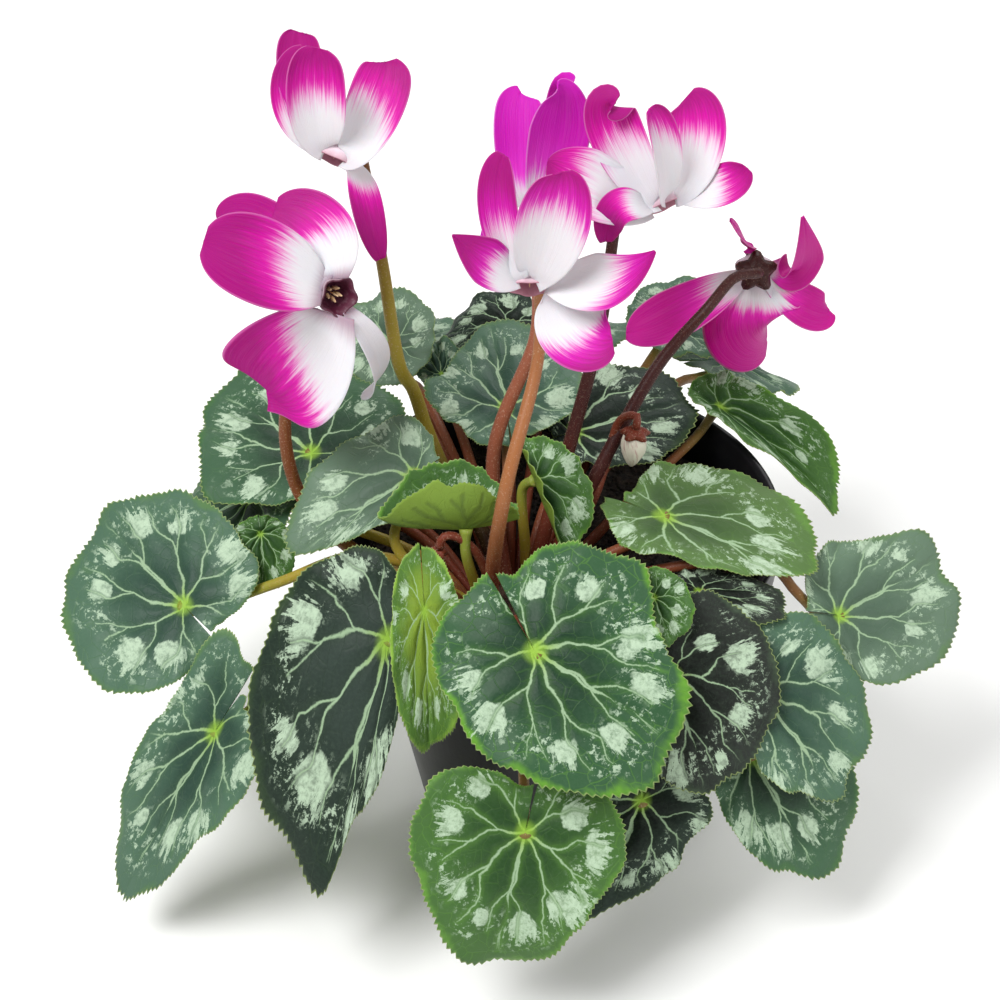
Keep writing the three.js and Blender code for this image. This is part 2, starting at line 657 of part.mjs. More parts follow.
// How far along a straight way the pot's rim is passed, or nothing if the way ends inside it.
function shareAtRim(from, to) {
  for (let share = 0; share < 1; share += 0.02) {
    const point = from.clone().lerp(to, share);
    if (Math.hypot(point.x, point.y) > POT_RIM_RADIUS - 2) return share;
  }
  return null;
}

// A petiole leaves the tuber low, passes over the pot's rim where its blade hangs outside, and
// meets the blade from underneath.
function petioleGeometry(leaf) {
  const end = leaf.place.clone().addScaledVector(leaf.frame.out, -BLADE_THICKNESS / 2 - TOUCHING_GAP);
  const root = stalkRoot(leaf.place, 12);
  const under = end.clone().addScaledVector(leaf.frame.out, -leaf.stem);
  const share = shareAtRim(root, under);
  const heights = [[0.35 * (share ?? 1), POT_HEIGHT - 1]];
  if (share !== null) {
    heights.push([share, RIM_CROSSING]);
    heights.push([share + 0.5 * (1 - share), (RIM_CROSSING + under.z) / 2]);
  }
  const way = leaf.way?.map(vector) ?? heights.map(([along, height]) => {
    const point = root.clone().lerp(under, along);
    point.z = height;
    return point;
  });
  const steps = share === null ? PETIOLE_STEPS.inside : PETIOLE_STEPS.overRim;
  const points = [root, ...way, under, end];
  return stalkGeometry(points, PETIOLE_RADIUS * 1.15, PETIOLE_RADIUS, steps, PETIOLE_SIDES);
}

function tuberGeometry(extra) {
  const ball = new THREE.SphereGeometry(1, 12, 5);
  ball.scale(TUBER.radius + extra, TUBER.radius + extra, TUBER.height / 2 + extra);
  return ball.translate(TUBER.x, TUBER.y, TUBER.z);
}

// The last points of a stalk, which comes square to the back of its calyx.
function straightEnd(calyx, axis) {
  return [5, 0.4].map((distance) => calyx.clone().addScaledVector(axis, -distance));
}

function crownGeometry(leaves) {
  const pieces = [tuberGeometry(0)];
  for (const leaf of leaves) pieces.push(petioleGeometry(leaf));
  for (const [name, way] of Object.entries(FLOWER_STALKS)) {
    const bloom = BLOOMS[name];
    const calyx = calyxPlace(bloom);
    const axis = direction(...bloom.opens);
    const points = [stalkRoot(vector(way[0]), 8), ...way.map(vector), ...straightEnd(calyx, axis)];
    const radii = [FLOWER_STALK_RADIUS, FLOWER_STALK_RADIUS * 0.6];
    pieces.push(stalkGeometry(points, ...radii, FLOWER_STALK_STEPS, STALK_SIDES));
    pieces.push(calyxGeometry(calyx, axis, CALYX_RADIUS));
  }
  for (const [name, way] of Object.entries(BUD_STALKS)) {
    const bud = BUDS[name];
    const towards = vector(bud.tip).sub(vector(bud.base)).normalize();
    const calyx = vector(bud.base).addScaledVector(towards, -CALYX_OFFSET);
    const points = [stalkRoot(vector(way[0]), 10), ...way.map(vector), ...straightEnd(calyx, towards)];
    const radii = [PETIOLE_RADIUS, PETIOLE_RADIUS * 0.8];
    pieces.push(stalkGeometry(points, ...radii, BUD_STALK_STEPS, STALK_SIDES));
    pieces.push(calyxGeometry(calyx, towards, bud.radius * 1.1));
  }
  return fuse(pieces);
}

// A closed bud, fullest near its base and drawn to a point.
function budGeometry(bud) {
  const base = vector(bud.base);
  const span = vector(bud.tip).sub(base);
  const length = span.length();
  const outline = [[0, 0], [0.6, 0], [0.95, 0.18], [1, 0.4], [0.8, 0.65], [0.45, 0.87], [0, 1]];
  const profile = outline.map(([r, h]) => new THREE.Vector2(r * bud.radius, h * length));
  const lathe = new THREE.LatheGeometry(profile, 9).rotateX(Math.PI / 2);
  return aim(lathe, span.normalize(), base);
}

function potInnerRadius(height) {
  const foot = POT_FOOT_RADIUS - POT_WALL - 0.5;
  const top = POT_RIM_RADIUS - POT_WALL - 2.4;
  return foot + ((top - foot) * height) / POT_HEIGHT;
}

function potGeometry() {
  const bandFoot = POT_HEIGHT - RIM_BAND;
  const outline = [
    [0, 0],
    [POT_FOOT_RADIUS - 1.5, 0],
    [POT_FOOT_RADIUS, 1.5],
    [potInnerRadius(bandFoot) + POT_WALL, bandFoot],
    [POT_RIM_RADIUS - 1, bandFoot],
    [POT_RIM_RADIUS - 0.4, POT_HEIGHT - 3],
    [POT_RIM_RADIUS, POT_HEIGHT - 2],
    [POT_RIM_RADIUS, POT_HEIGHT - 0.6],
    [POT_RIM_RADIUS - 0.6, POT_HEIGHT],
    [POT_RIM_RADIUS - 2, POT_HEIGHT],
    [potInnerRadius(POT_HEIGHT) + 0.6, POT_HEIGHT - 1.2],
    [potInnerRadius(bandFoot), bandFoot],
    [potInnerRadius(POT_FLOOR), POT_FLOOR],
    [0, POT_FLOOR],
  ];
  const shell = new THREE.LatheGeometry(outline.map(([r, h]) => new THREE.Vector2(r, h)), POT_SIDES);
  let solid = toSolid(shell.rotateX(Math.PI / 2));
  for (let i = 0; i < HOLES; i += 1) {
    const angle = (2 * Math.PI * (i + 0.5)) / HOLES;
    const hole = new THREE.CylinderGeometry(HOLE_RADIUS, HOLE_RADIUS, 3 * POT_FLOOR, 10);
    hole.rotateX(Math.PI / 2);
    hole.translate(HOLE_CIRCLE * Math.cos(angle), HOLE_CIRCLE * Math.sin(angle), POT_FLOOR / 2);
    solid = solid.subtract(toSolid(hole));
  }
  return toGeometry(solid);
}

// Height of the peat's lumpy top.
function peatTop(x, y) {
  const broad = 1.1 * Math.sin(x / 9 + 1) * Math.cos(y / 7);
  const small = 0.8 * Math.sin(x / 4.3) * Math.sin(y / 5.1 + 2);
  const dish = 5.5 * Math.exp(-(((x - TUBER.x) ** 2 + (y - TUBER.y) ** 2) / 24 ** 2));
  return SOIL_TOP + broad + small - dish;
}

function soilGeometry() {
  const floor = POT_FLOOR + TOUCHING_GAP;
  const top = SOIL_TOP + 0.01;
  const profile = [[0, floor], [potInnerRadius(floor) - TOUCHING_GAP, floor]];
  for (const share of [1, 0.78, 0.52, 0.26, 0]) {
    profile.push([share * (potInnerRadius(SOIL_TOP) - 0.6), top]);
  }
  const lathe = new THREE.LatheGeometry(profile.map(([r, h]) => new THREE.Vector2(r, h)), 24);
  lathe.rotateX(Math.PI / 2);
  const place = lathe.attributes.position;
  for (let i = 0; i < place.count; i += 1) {
    if (place.getZ(i) > SOIL_TOP - 1) place.setZ(i, peatTop(place.getX(i), place.getY(i)));
  }
  return toGeometry(toSolid(lathe).subtract(toSolid(tuberGeometry(TOUCHING_GAP))));
}

function named(name, geometry, color, roughness, metalness = 0) {
  const mesh = new THREE.Mesh(geometry, new THREE.MeshStandardMaterial({ color, roughness, metalness }));
  mesh.name = name;
  return mesh;
}

function bladeColour(name) {
  if (DARK_BLADES.includes(name)) return DARK_GREEN;
  return BRIGHT_BLADES.includes(name) ? BRIGHT_GREEN : GREY_GREEN;
}

const leaves = LEAVES.map(readLeaf);
const plant = new THREE.Group();
plant.add(named('pot', potGeometry(), '#17171a', 0.28));
plant.add(named('soil', soilGeometry(), '#2b1d15', 0.95));
plant.add(named('crown', crownGeometry(leaves), '#7d4a26', 0.45));
for (const leaf of leaves) {
  plant.add(named(`blade_${leaf.name}`, bladeGeometry(leaf), bladeColour(leaf.name), 0.5));
}
for (const [name, bloom] of Object.entries(BLOOMS)) {
  const colour = name === 'lilac_behind' ? '#c35fc0' : '#c4148f';
  plant.add(named(`bloom_${name}`, bloomGeometry(bloom), colour, 0.45));
}
for (const [name, bud] of Object.entries(BUDS)) {
  plant.add(named(`bud_${name}`, budGeometry(bud), '#e6dccb', 0.5));
}

export default plant;
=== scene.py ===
# %% [markdown]
# # A potted cyclamen in flower
#
# The plant is a flat tuber in a black nursery pot. Every leaf and every flower stands on its own
# stalk from that tuber. The solids of the plant are already there, coarse and faceted; this
# lesson dresses each of them in a finer skin of the same form, and gives it its colours.

# %% Load the solids
import math
import random

import bpy
import numpy as np
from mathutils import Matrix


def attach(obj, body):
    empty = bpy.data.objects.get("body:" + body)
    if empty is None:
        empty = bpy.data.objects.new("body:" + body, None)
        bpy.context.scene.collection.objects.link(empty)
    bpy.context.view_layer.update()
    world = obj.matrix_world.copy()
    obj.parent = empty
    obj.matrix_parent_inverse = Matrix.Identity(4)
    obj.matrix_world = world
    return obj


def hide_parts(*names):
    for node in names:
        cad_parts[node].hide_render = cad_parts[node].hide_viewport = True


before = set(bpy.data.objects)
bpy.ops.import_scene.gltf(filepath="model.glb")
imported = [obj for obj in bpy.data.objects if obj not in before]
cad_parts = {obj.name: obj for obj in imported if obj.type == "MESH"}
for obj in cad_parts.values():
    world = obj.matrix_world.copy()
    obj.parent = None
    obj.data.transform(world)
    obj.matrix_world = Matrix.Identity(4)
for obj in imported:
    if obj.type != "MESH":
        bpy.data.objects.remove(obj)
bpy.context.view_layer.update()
MM = 0.001
print("solids:", len(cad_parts))

# %% [markdown]
# ## The view
#
# The photo looks down on the plant at about forty degrees from close by, with a longish lens.
# A pale floor and large soft lamps give the flat, even light of the photo.

# %% Camera
CAMERA_HEIGHT_ANGLE = math.radians(40)
CAMERA_DISTANCE = 0.85
LOOK_AT = np.array([-0.021, 0.0, 0.130])
SENSOR_HALF = 18.0
PHOTO_HALF_SIDE = 500
PIXELS_PER_METRE = 1 / 0.000342

camera_data = bpy.data.cameras.new("camera")
camera_data.lens = SENSOR_HALF * CAMERA_DISTANCE * PIXELS_PER_METRE / PHOTO_HALF_SIDE
camera = bpy.data.objects.new("camera", camera_data)
look = np.array([0, math.cos(CAMERA_HEIGHT_ANGLE), -math.sin(CAMERA_HEIGHT_ANGLE)])
camera.location = LOOK_AT - look * CAMERA_DISTANCE
camera.rotation_euler = (math.pi / 2 - CAMERA_HEIGHT_ANGLE, 0, 0)
bpy.context.collection.objects.link(camera)
bpy.context.scene.camera = camera
print("lens:", round(camera_data.lens, 1), "mm")


# %% Lamps and sky
def soft_lamp(name, place, aim, side, power):
    lamp = bpy.data.lights.new(name, "AREA")
    lamp.shape = "SQUARE"
    lamp.size = side
    lamp.energy = power
    body = bpy.data.objects.new(name, lamp)
    body.location = place
    way = np.array(aim) - np.array(place)
    flat = math.hypot(way[0], way[1])
    body.rotation_euler = (math.atan2(flat, -way[2]), 0, math.atan2(way[1], way[0]) - math.pi / 2)
    bpy.context.collection.objects.link(body)


soft_lamp("key", (-0.6, -0.6, 1.4), (0, 0, 0.15), 0.6, 23)
soft_lamp("fill", (0.9, -0.5, 0.8), (0, 0, 0.15), 0.9, 6)
soft_lamp("back", (0.3, 1.0, 1.0), (0, 0, 0.2), 0.8, 8)
world = bpy.data.worlds.new("sky")
world.use_nodes = True
world.node_tree.nodes["Background"].inputs["Color"].default_value = (1, 1, 1, 1)
world.node_tree.nodes["Background"].inputs["Strength"].default_value = 0.38
bpy.context.scene.world = world
bpy.context.scene.view_settings.view_transform = "Standard"
print("lamps:", 3)

# %% [markdown]
# ## Writing finishes as sums
#
# A finish is a small network of nodes. Written one by one they are hard to read, so a wire
# between two nodes is wrapped in a class that knows the signs of arithmetic. Then a mask can be
# written as a sum.


# %% A wire that takes part in sums
def plug(tree, value, socket):
    if isinstance(value, Wire):
        tree.links.new(value.socket, socket)
    elif isinstance(value, (tuple, list)) and len(value) == 3 and len(socket.default_value) == 4:
        socket.default_value = (*value, 1)
    else:
        socket.default_value = value


class Wire:
    def __init__(self, tree, socket):
        self.tree = tree
        self.socket = socket

    def sum(self, kind, *values):
        node = self.tree.nodes.new("ShaderNodeMath")
        node.operation = kind
        for value, socket in zip(values, node.inputs):
            plug(self.tree, value, socket)
        return Wire(self.tree, node.outputs[0])

    def __add__(self, other):
        return self.sum("ADD", self, other)

    def __radd__(self, other):
        return self.sum("ADD", other, self)

    def __sub__(self, other):
        return self.sum("SUBTRACT", self, other)

    def __rsub__(self, other):
        return self.sum("SUBTRACT", other, self)

    def __mul__(self, other):
        return self.sum("MULTIPLY", self, other)

    def __rmul__(self, other):
        return self.sum("MULTIPLY", other, self)

    def __truediv__(self, other):
        return self.sum("DIVIDE", self, other)

    def __pow__(self, other):
        return self.sum("POWER", self, other)

    def __abs__(self):
        return self.sum("ABSOLUTE", self)

    def least(self, other):
        return self.sum("MINIMUM", self, other)

    def most(self, other):
        return self.sum("MAXIMUM", self, other)


# %% A finish
class Finish:
    def __init__(self, name):
        self.material = bpy.data.materials.new(name)
        self.material.use_nodes = True
        self.tree = self.material.node_tree
        self.shader = self.tree.nodes["Principled BSDF"]

    def node(self, kind, settings=None, values=None, output=0):
        node = self.tree.nodes.new(kind)
        for key, value in (settings or {}).items():
            setattr(node, key, value)
        for key, value in (values or {}).items():
            plug(self.tree, value, node.inputs[key])
        return Wire(self.tree, node.outputs[output])

    def vector(self, kind, *values, output=0):
        return self.node("ShaderNodeVectorMath", {"operation": kind}, dict(enumerate(values)), output)

    def join(self, x, y, z=0.0):
        return self.node("ShaderNodeCombineXYZ", None, {0: x, 1: y, 2: z})

    def split(self, vector):
        node = self.tree.nodes.new("ShaderNodeSeparateXYZ")
        plug(self.tree, vector, node.inputs[0])
        return [Wire(self.tree, socket) for socket in node.outputs]

    def chart(self, name):
        return self.node("ShaderNodeUVMap", {"uv_map": name})

    def value(self, name):
        return self.node("ShaderNodeAttribute", {"attribute_name": name}, None, "Fac")

    def place(self):
        return self.node("ShaderNodeTexCoord", None, None, "Object")

    def noise(self, vector, scale, detail=2.0, rough=0.5, output=0):
        values = {"Vector": vector, "Scale": scale, "Detail": detail, "Roughness": rough}
        return self.node("ShaderNodeTexNoise", None, values, output)

    def net(self, vector, scale):
        settings = {"feature": "DISTANCE_TO_EDGE"}
        return self.node("ShaderNodeTexVoronoi", settings, {"Vector": vector, "Scale": scale})

    def step(self, value, low, high):
        settings = {"interpolation_type": "SMOOTHSTEP"}
        return self.node("ShaderNodeMapRange", settings, {0: value, 1: low, 2: high})

    def mix(self, share, low, high):
        settings = {"data_type": "RGBA"}
        return self.node("ShaderNodeMix", settings, {0: share, 6: low, 7: high}, 2)

    def bump(self, height, distance, strength=1.0):
        values = {"Height": height, "Distance": distance, "Strength": strength}
        return self.node("ShaderNodeBump", None, values)

    def surface(self, **values):
        for name, value in values.items():
            plug(self.tree, value, self.shader.inputs[name.replace("_", " ")])
        return self.material


print("finish kit ready")


# %% A mesh from points and faces
def make_piece(name, points, faces, chart=None, chart_name="chart", values=None, smooth=True):
    mesh = bpy.data.meshes.new(name)
    mesh.from_pydata((np.asarray(points) * MM).tolist(), [], [list(face) for face in faces])
    if chart is not None:
        corners = np.zeros(len(mesh.loops), dtype=np.int32)
        mesh.loops.foreach_get("vertex_index", corners)
        layer = mesh.uv_layers.new(name=chart_name)
        layer.data.foreach_set("uv", np.asarray(chart, dtype=np.float32)[corners].ravel())
    for key, column in (values or {}).items():
        layer = mesh.attributes.new(key, "FLOAT", "POINT")
        layer.data.foreach_set("value", np.asarray(column, dtype=np.float32))
    mesh.polygons.foreach_set("use_smooth", np.full(len(mesh.polygons), smooth))
    mesh.validate()
    mesh.update()
    piece = bpy.data.objects.new(name, mesh)
    bpy.context.collection.objects.link(piece)
    return piece


def dress(piece, finish, node):
    piece.data.materials.clear()
    piece.data.materials.append(finish)
    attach(piece, "root")
    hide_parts(node)


def unit(vectors):
    return vectors / np.maximum(np.linalg.norm(vectors, axis=-1, keepdims=True), 1e-9)


def direction(azimuth, height):
    a, h = math.radians(azimuth), math.radians(height)
    return np.array([math.cos(h) * math.cos(a), math.cos(h) * math.sin(a), math.sin(h)])


UP = np.array([0.0, 0.0, 1.0])
print("mesh helpers ready")

# %% [markdown]
# ## The pot
#
# A nursery pot is blown or moulded from thin black plastic: a plain cone with a taller band
# round its rim and holes in its floor. It is a shape turned round an axis, so its outline is
# drawn once and turned, and the drain holes are cut out of it.

# %% Turn an outline round the upright axis
POT_HEIGHT, POT_RIM, POT_FOOT, POT_WALL, RIM_BAND = 124, 76, 51, 2.2, 14
POT_FLOOR = 2.6
SOIL_TOP = POT_HEIGHT - 17


def turned(outline, sides):
    outline = np.asarray(outline, dtype=float)
    angles = np.linspace(0, 2 * math.pi, sides, endpoint=False)
    middle = outline[1:-1]
    rings = [np.stack([r * np.cos(angles), r * np.sin(angles), np.full(sides, h)], -1)
             for r, h in middle]
    points = np.concatenate([[[0, 0, outline[0][1]]], *rings, [[0, 0, outline[-1][1]]]])
    faces = []
    count = len(middle)
    for j in range(sides):
        n = (j + 1) % sides
        faces.append((0, 1 + n, 1 + j))
        for i in range(count - 1):
            a = 1 + i * sides
            faces.append((a + j, a + n, a + sides + n, a + sides + j))
        last = 1 + (count - 1) * sides
        faces.append((last + j, last + n, len(points) - 1))
    return points, faces


def pot_inner(height):
    foot = POT_FOOT - POT_WALL - 0.5
    top = POT_RIM - POT_WALL - 2.4
    return foot + (top - foot) * height / POT_HEIGHT


BAND_FOOT = POT_HEIGHT - RIM_BAND
POT_OUTLINE = [
    (0, 0), (POT_FOOT - 1.5, 0), (POT_FOOT - 0.4, 0.4), (POT_FOOT, 1.5),
    (pot_inner(BAND_FOOT) + POT_WALL - 0.1, BAND_FOOT - 0.5),
    (pot_inner(BAND_FOOT) + POT_WALL + 0.5, BAND_FOOT),
    (POT_RIM - 1.4, BAND_FOOT + 0.1), (POT_RIM - 1, BAND_FOOT + 0.6),
    (POT_RIM - 0.5, POT_HEIGHT - 3.2), (POT_RIM, POT_HEIGHT - 2.2), (POT_RIM, POT_HEIGHT - 0.7),
    (POT_RIM - 0.6, POT_HEIGHT), (POT_RIM - 2, POT_HEIGHT),
    (pot_inner(POT_HEIGHT) + 0.6, POT_HEIGHT - 1.2), (pot_inner(BAND_FOOT), BAND_FOOT),
    (pot_inner(POT_FLOOR) + 0.1, POT_FLOOR + 0.8), (pot_inner(POT_FLOOR) - 0.8, POT_FLOOR),
    (0, POT_FLOOR),
]
points, faces = turned(POT_OUTLINE, 120)
pot = make_piece("pot_skin", points, faces)
print("pot faces:", len(faces))


# %% Cut the drain holes
def flatten(piece):
    shown = piece.evaluated_get(bpy.context.evaluated_depsgraph_get())
    mesh = bpy.data.meshes.new_from_object(shown)
    piece.modifiers.clear()
    piece.data = mesh
    return piece


HOLES, HOLE_CIRCLE, HOLE_RADIUS = 6, 36, 4
drill_points, drill_faces = [], []
for hole in range(HOLES):
    angle = 2 * math.pi * (hole + 0.5) / HOLES
    rod, rod_faces = turned([(0, -4), (HOLE_RADIUS, -4), (HOLE_RADIUS, 7), (0, 7)], 24)
    start = len(drill_points)
    rod = rod + [HOLE_CIRCLE * math.cos(angle), HOLE_CIRCLE * math.sin(angle), 0]
    drill_points.extend(rod.tolist())
    drill_faces.extend([tuple(i + start for i in face) for face in rod_faces])
drill = make_piece("drill", drill_points, drill_faces)
cut = pot.modifiers.new("holes", "BOOLEAN")
cut.operation = "DIFFERENCE"
cut.solver = "EXACT"
cut.object = drill
bpy.context.view_layer.update()
flatten(pot)
bpy.data.objects.remove(drill)
pot.data.set_sharp_from_angle(angle=math.radians(50))
print("pot points:", len(pot.data.vertices))

# %% Black plastic
plastic = Finish("black_plastic")
grain = plastic.noise(plastic.place(), 260, 4, 0.6)
dust = plastic.noise(plastic.place(), 18, 5, 0.65)
plastic.surface(
    Base_Color=plastic.mix(plastic.step(dust, 0.5, 0.8), (0.006, 0.006, 0.007), (0.02, 0.018, 0.018)),
    Roughness=0.24 + 0.22 * dust,
    Normal=plastic.bump(grain, 0.0002, 0.3),
    Specular_IOR_Level=0.14,
)
dress(pot, plastic.material, "pot")
print("pot dressed")

# %% [markdown]
# ## The leaves
#
# A cyclamen leaf is a heart-shaped blade on a round petiole. Its edge carries small horny teeth,
# the two base lobes meet in a slit, and the veins fan out from the petiole like fingers. No two
# blades hang alike, so each one is a row of numbers: where its petiole meets it, which way its
# midrib points, how long and broad it is and how it bends. One function turns a row into a blade.

# %% One row for each blade
PLAIN_BLADE = dict(
    breadth=0.9, skew=0, back=0.6, lop=0, taper=1.2, slit=0, droop=15, lobes=10, left=-12,
    right=-12, fold=4, wave=1.5, stem=8, way=None, edge=[1] * 12, tip=0,
)
LEAVES = {
    "left": dict(at=[-127, -36, 114], turn=[135, 16, 31], length=52, breadth=0.85, back=0.5,
        droop=20, edge=[0.65, 0.9, 1.15, 1.15, 1.02, 0.95, 0.9, 0.94, 0.9, 0.98, 0.75, 0.5],
        tip=0.05),
    "low_left": dict(at=[-115, -71, 90], turn=[-148, -50, 24], length=62, breadth=0.5, back=0.6,
        lop=0.2, droop=25, lobes=-10, fold=12, wave=3, skew=0.1,
        edge=[0.45, 0.45, 0.95, 1, 0.85, 1.1, 1.05, 0.85, 0.75, 0.85, 1.3, 0.9], tip=0.06),
    "long_dark": dict(at=[-56, -74, 134], turn=[-119, -52, 12], length=86, breadth=0.42, skew=0.45,
        back=0.42, taper=1.4, droop=20, lobes=30, left=-50, right=-18, fold=2, wave=2,
        edge=[0.3, 0.3, 0.35, 0.55, 0.78, 0.8, 1, 1, 1.12, 1.12, 0.95, 0.55], tip=0.17),
    "under_left_bloom": dict(at=[-86, 16, 138], turn=[136, 7, 10], length=48, back=0.5,
        edge=[0.9, 0.8, 0.85, 1.1, 0.95, 0.98, 1.15, 1.1, 1.15, 1.3, 1.3, 1]),
    "dark_teal": dict(at=[-108, 15, 118], turn=[174, -24, 7], length=34, breadth=1.1),
    "small_green": dict(at=[-102, -15, 128], turn=[-80, -40, 0], length=20, back=0.3, breadth=0.8),
    "pointed_silver": dict(at=[-49, -20.5, 158], turn=[-154, -19, 17], length=48, breadth=0.66,
        skew=0.2, back=0.4, way=[[-40, -34, 118], [-56, -29, 137]], stem=5,
        edge=[0.5, 0.5, 0.6, 0.6, 0.6, 0.75, 0.95, 0.92, 0.87, 1, 0.75, 0.5], tip=0.1),
    "cupped_olive": dict(at=[-32, -42, 153.5], turn=[190, 4, -15], length=29, breadth=0.95,
        droop=-20, lobes=-20, left=30, right=30, fold=50, wave=1, skew=0, back=0.62),
    "centre_top": dict(at=[-19, 27, 149], turn=[97, 8, 1], length=48, breadth=0.75,
        edge=[0.6, 0.75, 0.7, 0.95, 0.75, 0.9, 1.05, 0.95, 1, 0.8, 0.6, 0.5]),
    "arched_dark": dict(at=[-18, 78, 147], turn=[172, 1, 10], length=27, droop=50, lobes=25,
        left=-18, right=-18),
    "sage_behind": dict(at=[-60, 67, 146], turn=[120, 16, 26], length=26),
    "upright_grey": dict(at=[-42, 60, 138.5], turn=[101, 35, 8], length=14, breadth=0.8, back=0.5),
    "dark_right": dict(at=[4, 27, 138], turn=[24, 3, -12], length=48, back=0.4, lop=-0.6, lobes=0,
        edge=[0.9, 0.75, 0.75, 0.8, 0.95, 1.03, 0.92, 0.78, 0.6, 0.55, 0.6, 0.7]),
    "grey_green_behind": dict(at=[40, 88, 142], turn=[20, 2, -7], length=32, back=0.45),
    "folded_right": dict(at=[57, 50, 132], turn=[-23, -24, -14], length=50, breadth=0.42, droop=25,
        fold=35, left=5, right=5, lobes=20, back=0.25, way=[[28, 14, 123], [50, 42, 126]], stem=4,
        edge=[1, 1, 1, 1.05, 1.2, 1.15, 1, 0.9, 1, 1.1, 1, 1], tip=0.12),
    "wide_right": dict(at=[33, -23, 142.5], turn=[-23, -7, -13], length=57, breadth=0.6, taper=1.5,
        back=0.5, right=-3,
        edge=[0.5, 0.6, 0.95, 1.08, 1.12, 0.96, 0.75, 0.6, 0.6, 0.84, 0.75, 0.75]),
    "taco_young": dict(at=[-9, -12, 149], turn=[-60, -38, 15], length=27, breadth=0.7, fold=46,
        left=20, right=30, wave=0.5, back=0.55, skew=-0.15),
    "front": dict(at=[-10, -88, 142], turn=[-27, -18, -34], length=50, breadth=0.95, slit=31,
        edge=[0.9, 1.1, 1.12, 1.1, 0.88, 1, 1.1, 1, 0.92, 0.9, 1, 0.98]),
    "front_bottom": dict(at=[-13, -114, 88], turn=[-112, -56, 18], length=49, breadth=0.86,
        droop=30, fold=6, wave=2,
        edge=[0.6, 0.85, 1.05, 0.92, 0.85, 1.02, 1.05, 0.95, 1.02, 1.12, 0.8, 0.5], tip=0.05),
    "dark_under": dict(at=[25, -97, 84], turn=[-129, -54, 43], length=42, stem=6,
        edge=[0.8, 0.6, 0.85, 0.7, 0.75, 0.9, 0.93, 0.6, 0.45, 0.45, 0.6, 0.8], tip=0.14),
    "dark_front_right": dict(at=[34, -78, 123], turn=[-66, -44, -7], length=44, back=0.38, stem=3,
        edge=[1.3, 1.6, 1.4, 1.25, 1, 0.9, 0.85, 0.75, 0.65, 0.65, 0.8, 1]),
    "right_front": dict(at=[65, -74, 110], turn=[-35, -45, -20], length=52, breadth=0.75, back=0.3,
        lobes=60, edge=[0.8, 1.4, 1.5, 1.2, 1, 0.85, 0.75, 0.65, 0.5, 0.5, 0.5, 0.6], tip=0.06),
    "low_right": dict(at=[62, -76, 84], turn=[-39, -50, -27], length=50, breadth=0.75, back=0.3,
        lobes=50, edge=[0.5, 0.5, 0.85, 1.1, 1.1, 1.05, 0.9, 0.75, 0.7, 0.65, 0.5, 0.45], tip=0.07),
    "far_right": dict(at=[92, -40, 113], turn=[35, 3, -35], length=50, breadth=0.75, back=0.32,
        slit=40, edge=[0.8, 0.9, 1, 0.92, 0.8, 1, 1, 1.15, 1.08, 0.82, 0.95, 0.8]),
    "grey_purple": dict(at=[44, -46.5, 130.3], turn=[-11, -1, -3], length=30, breadth=0.5,
        back=0.4, stem=4),
    "lime_twisted": dict(at=[-45, -71, 144], turn=[-84, -58, 5], length=47, breadth=0.36, fold=12,
        left=30, right=30, back=0.45),
    "olive_tip": dict(at=[28, -66, 145], turn=[-61, -45, -20], length=16),
    "back_middle": dict(at=[0, 100, 128], turn=[85, -18, 0], length=46, droop=25, breadth=0.75),
    "back_left": dict(at=[-62, 92, 126], turn=[125, -15, 0], length=44, droop=25),
    "back_right": dict(at=[62, 92, 121], turn=[40, -25, 0], length=38, droop=25, stem=4,
        breadth=0.8),
}
LEAF_NUMBER = {name: number for number, name in enumerate(LEAVES)}
print("blades:", len(LEAVES))


# %% Read a row
def read_leaf(name):
    leaf = {**PLAIN_BLADE, **LEAVES[name], "number": LEAF_NUMBER[name]}
    heading, pitch, roll = leaf["turn"]
    along = direction(heading, pitch)
    level = unit(np.cross(along, UP))
    face = unit(np.cross(level, along))
    turn = math.radians(roll)
    leaf["along"] = along
    leaf["across"] = level * math.cos(turn) + face * math.sin(turn)
    leaf["out"] = face * math.cos(turn) - level * math.sin(turn)
    for bend in ("droop", "lobes", "left", "right", "fold"):
        leaf[bend] = math.radians(leaf[bend])
    return leaf


# %% The flat outline
EDGE_START, EDGE_STEP = -165, 30
EDGE_LOBES, EDGE_LOBE_HEIGHT = 7, 0.018
TIP_SPREAD = math.radians(11)


def edge_share(leaf, angle):
    edge = np.array(leaf["edge"], dtype=float)
    last = len(edge) - 1
    place = np.clip((np.degrees(angle) - EDGE_START) / EDGE_STEP, 0, last)
    i = np.minimum(last - 1, np.floor(place)).astype(int)
    t = place - i
    a, b = edge[i], edge[i + 1]
    rise = (b - edge[np.maximum(0, i - 1)]) / 2
    fall = (edge[np.minimum(last, i + 2)] - a) / 2
    curve = a + t * rise + t * t * (3 * (b - a) - 2 * rise - fall) + t ** 3 * (2 * (a - b) + rise + fall)
    lobes = np.sin(EDGE_LOBES * angle + leaf["number"]) + 0.6 * np.sin(3 * angle + 2.3 * leaf["number"])
    tip = leaf["tip"] * np.exp(-((angle / TIP_SPREAD) ** 2))
    return curve + EDGE_LOBE_HEIGHT * lobes + tip


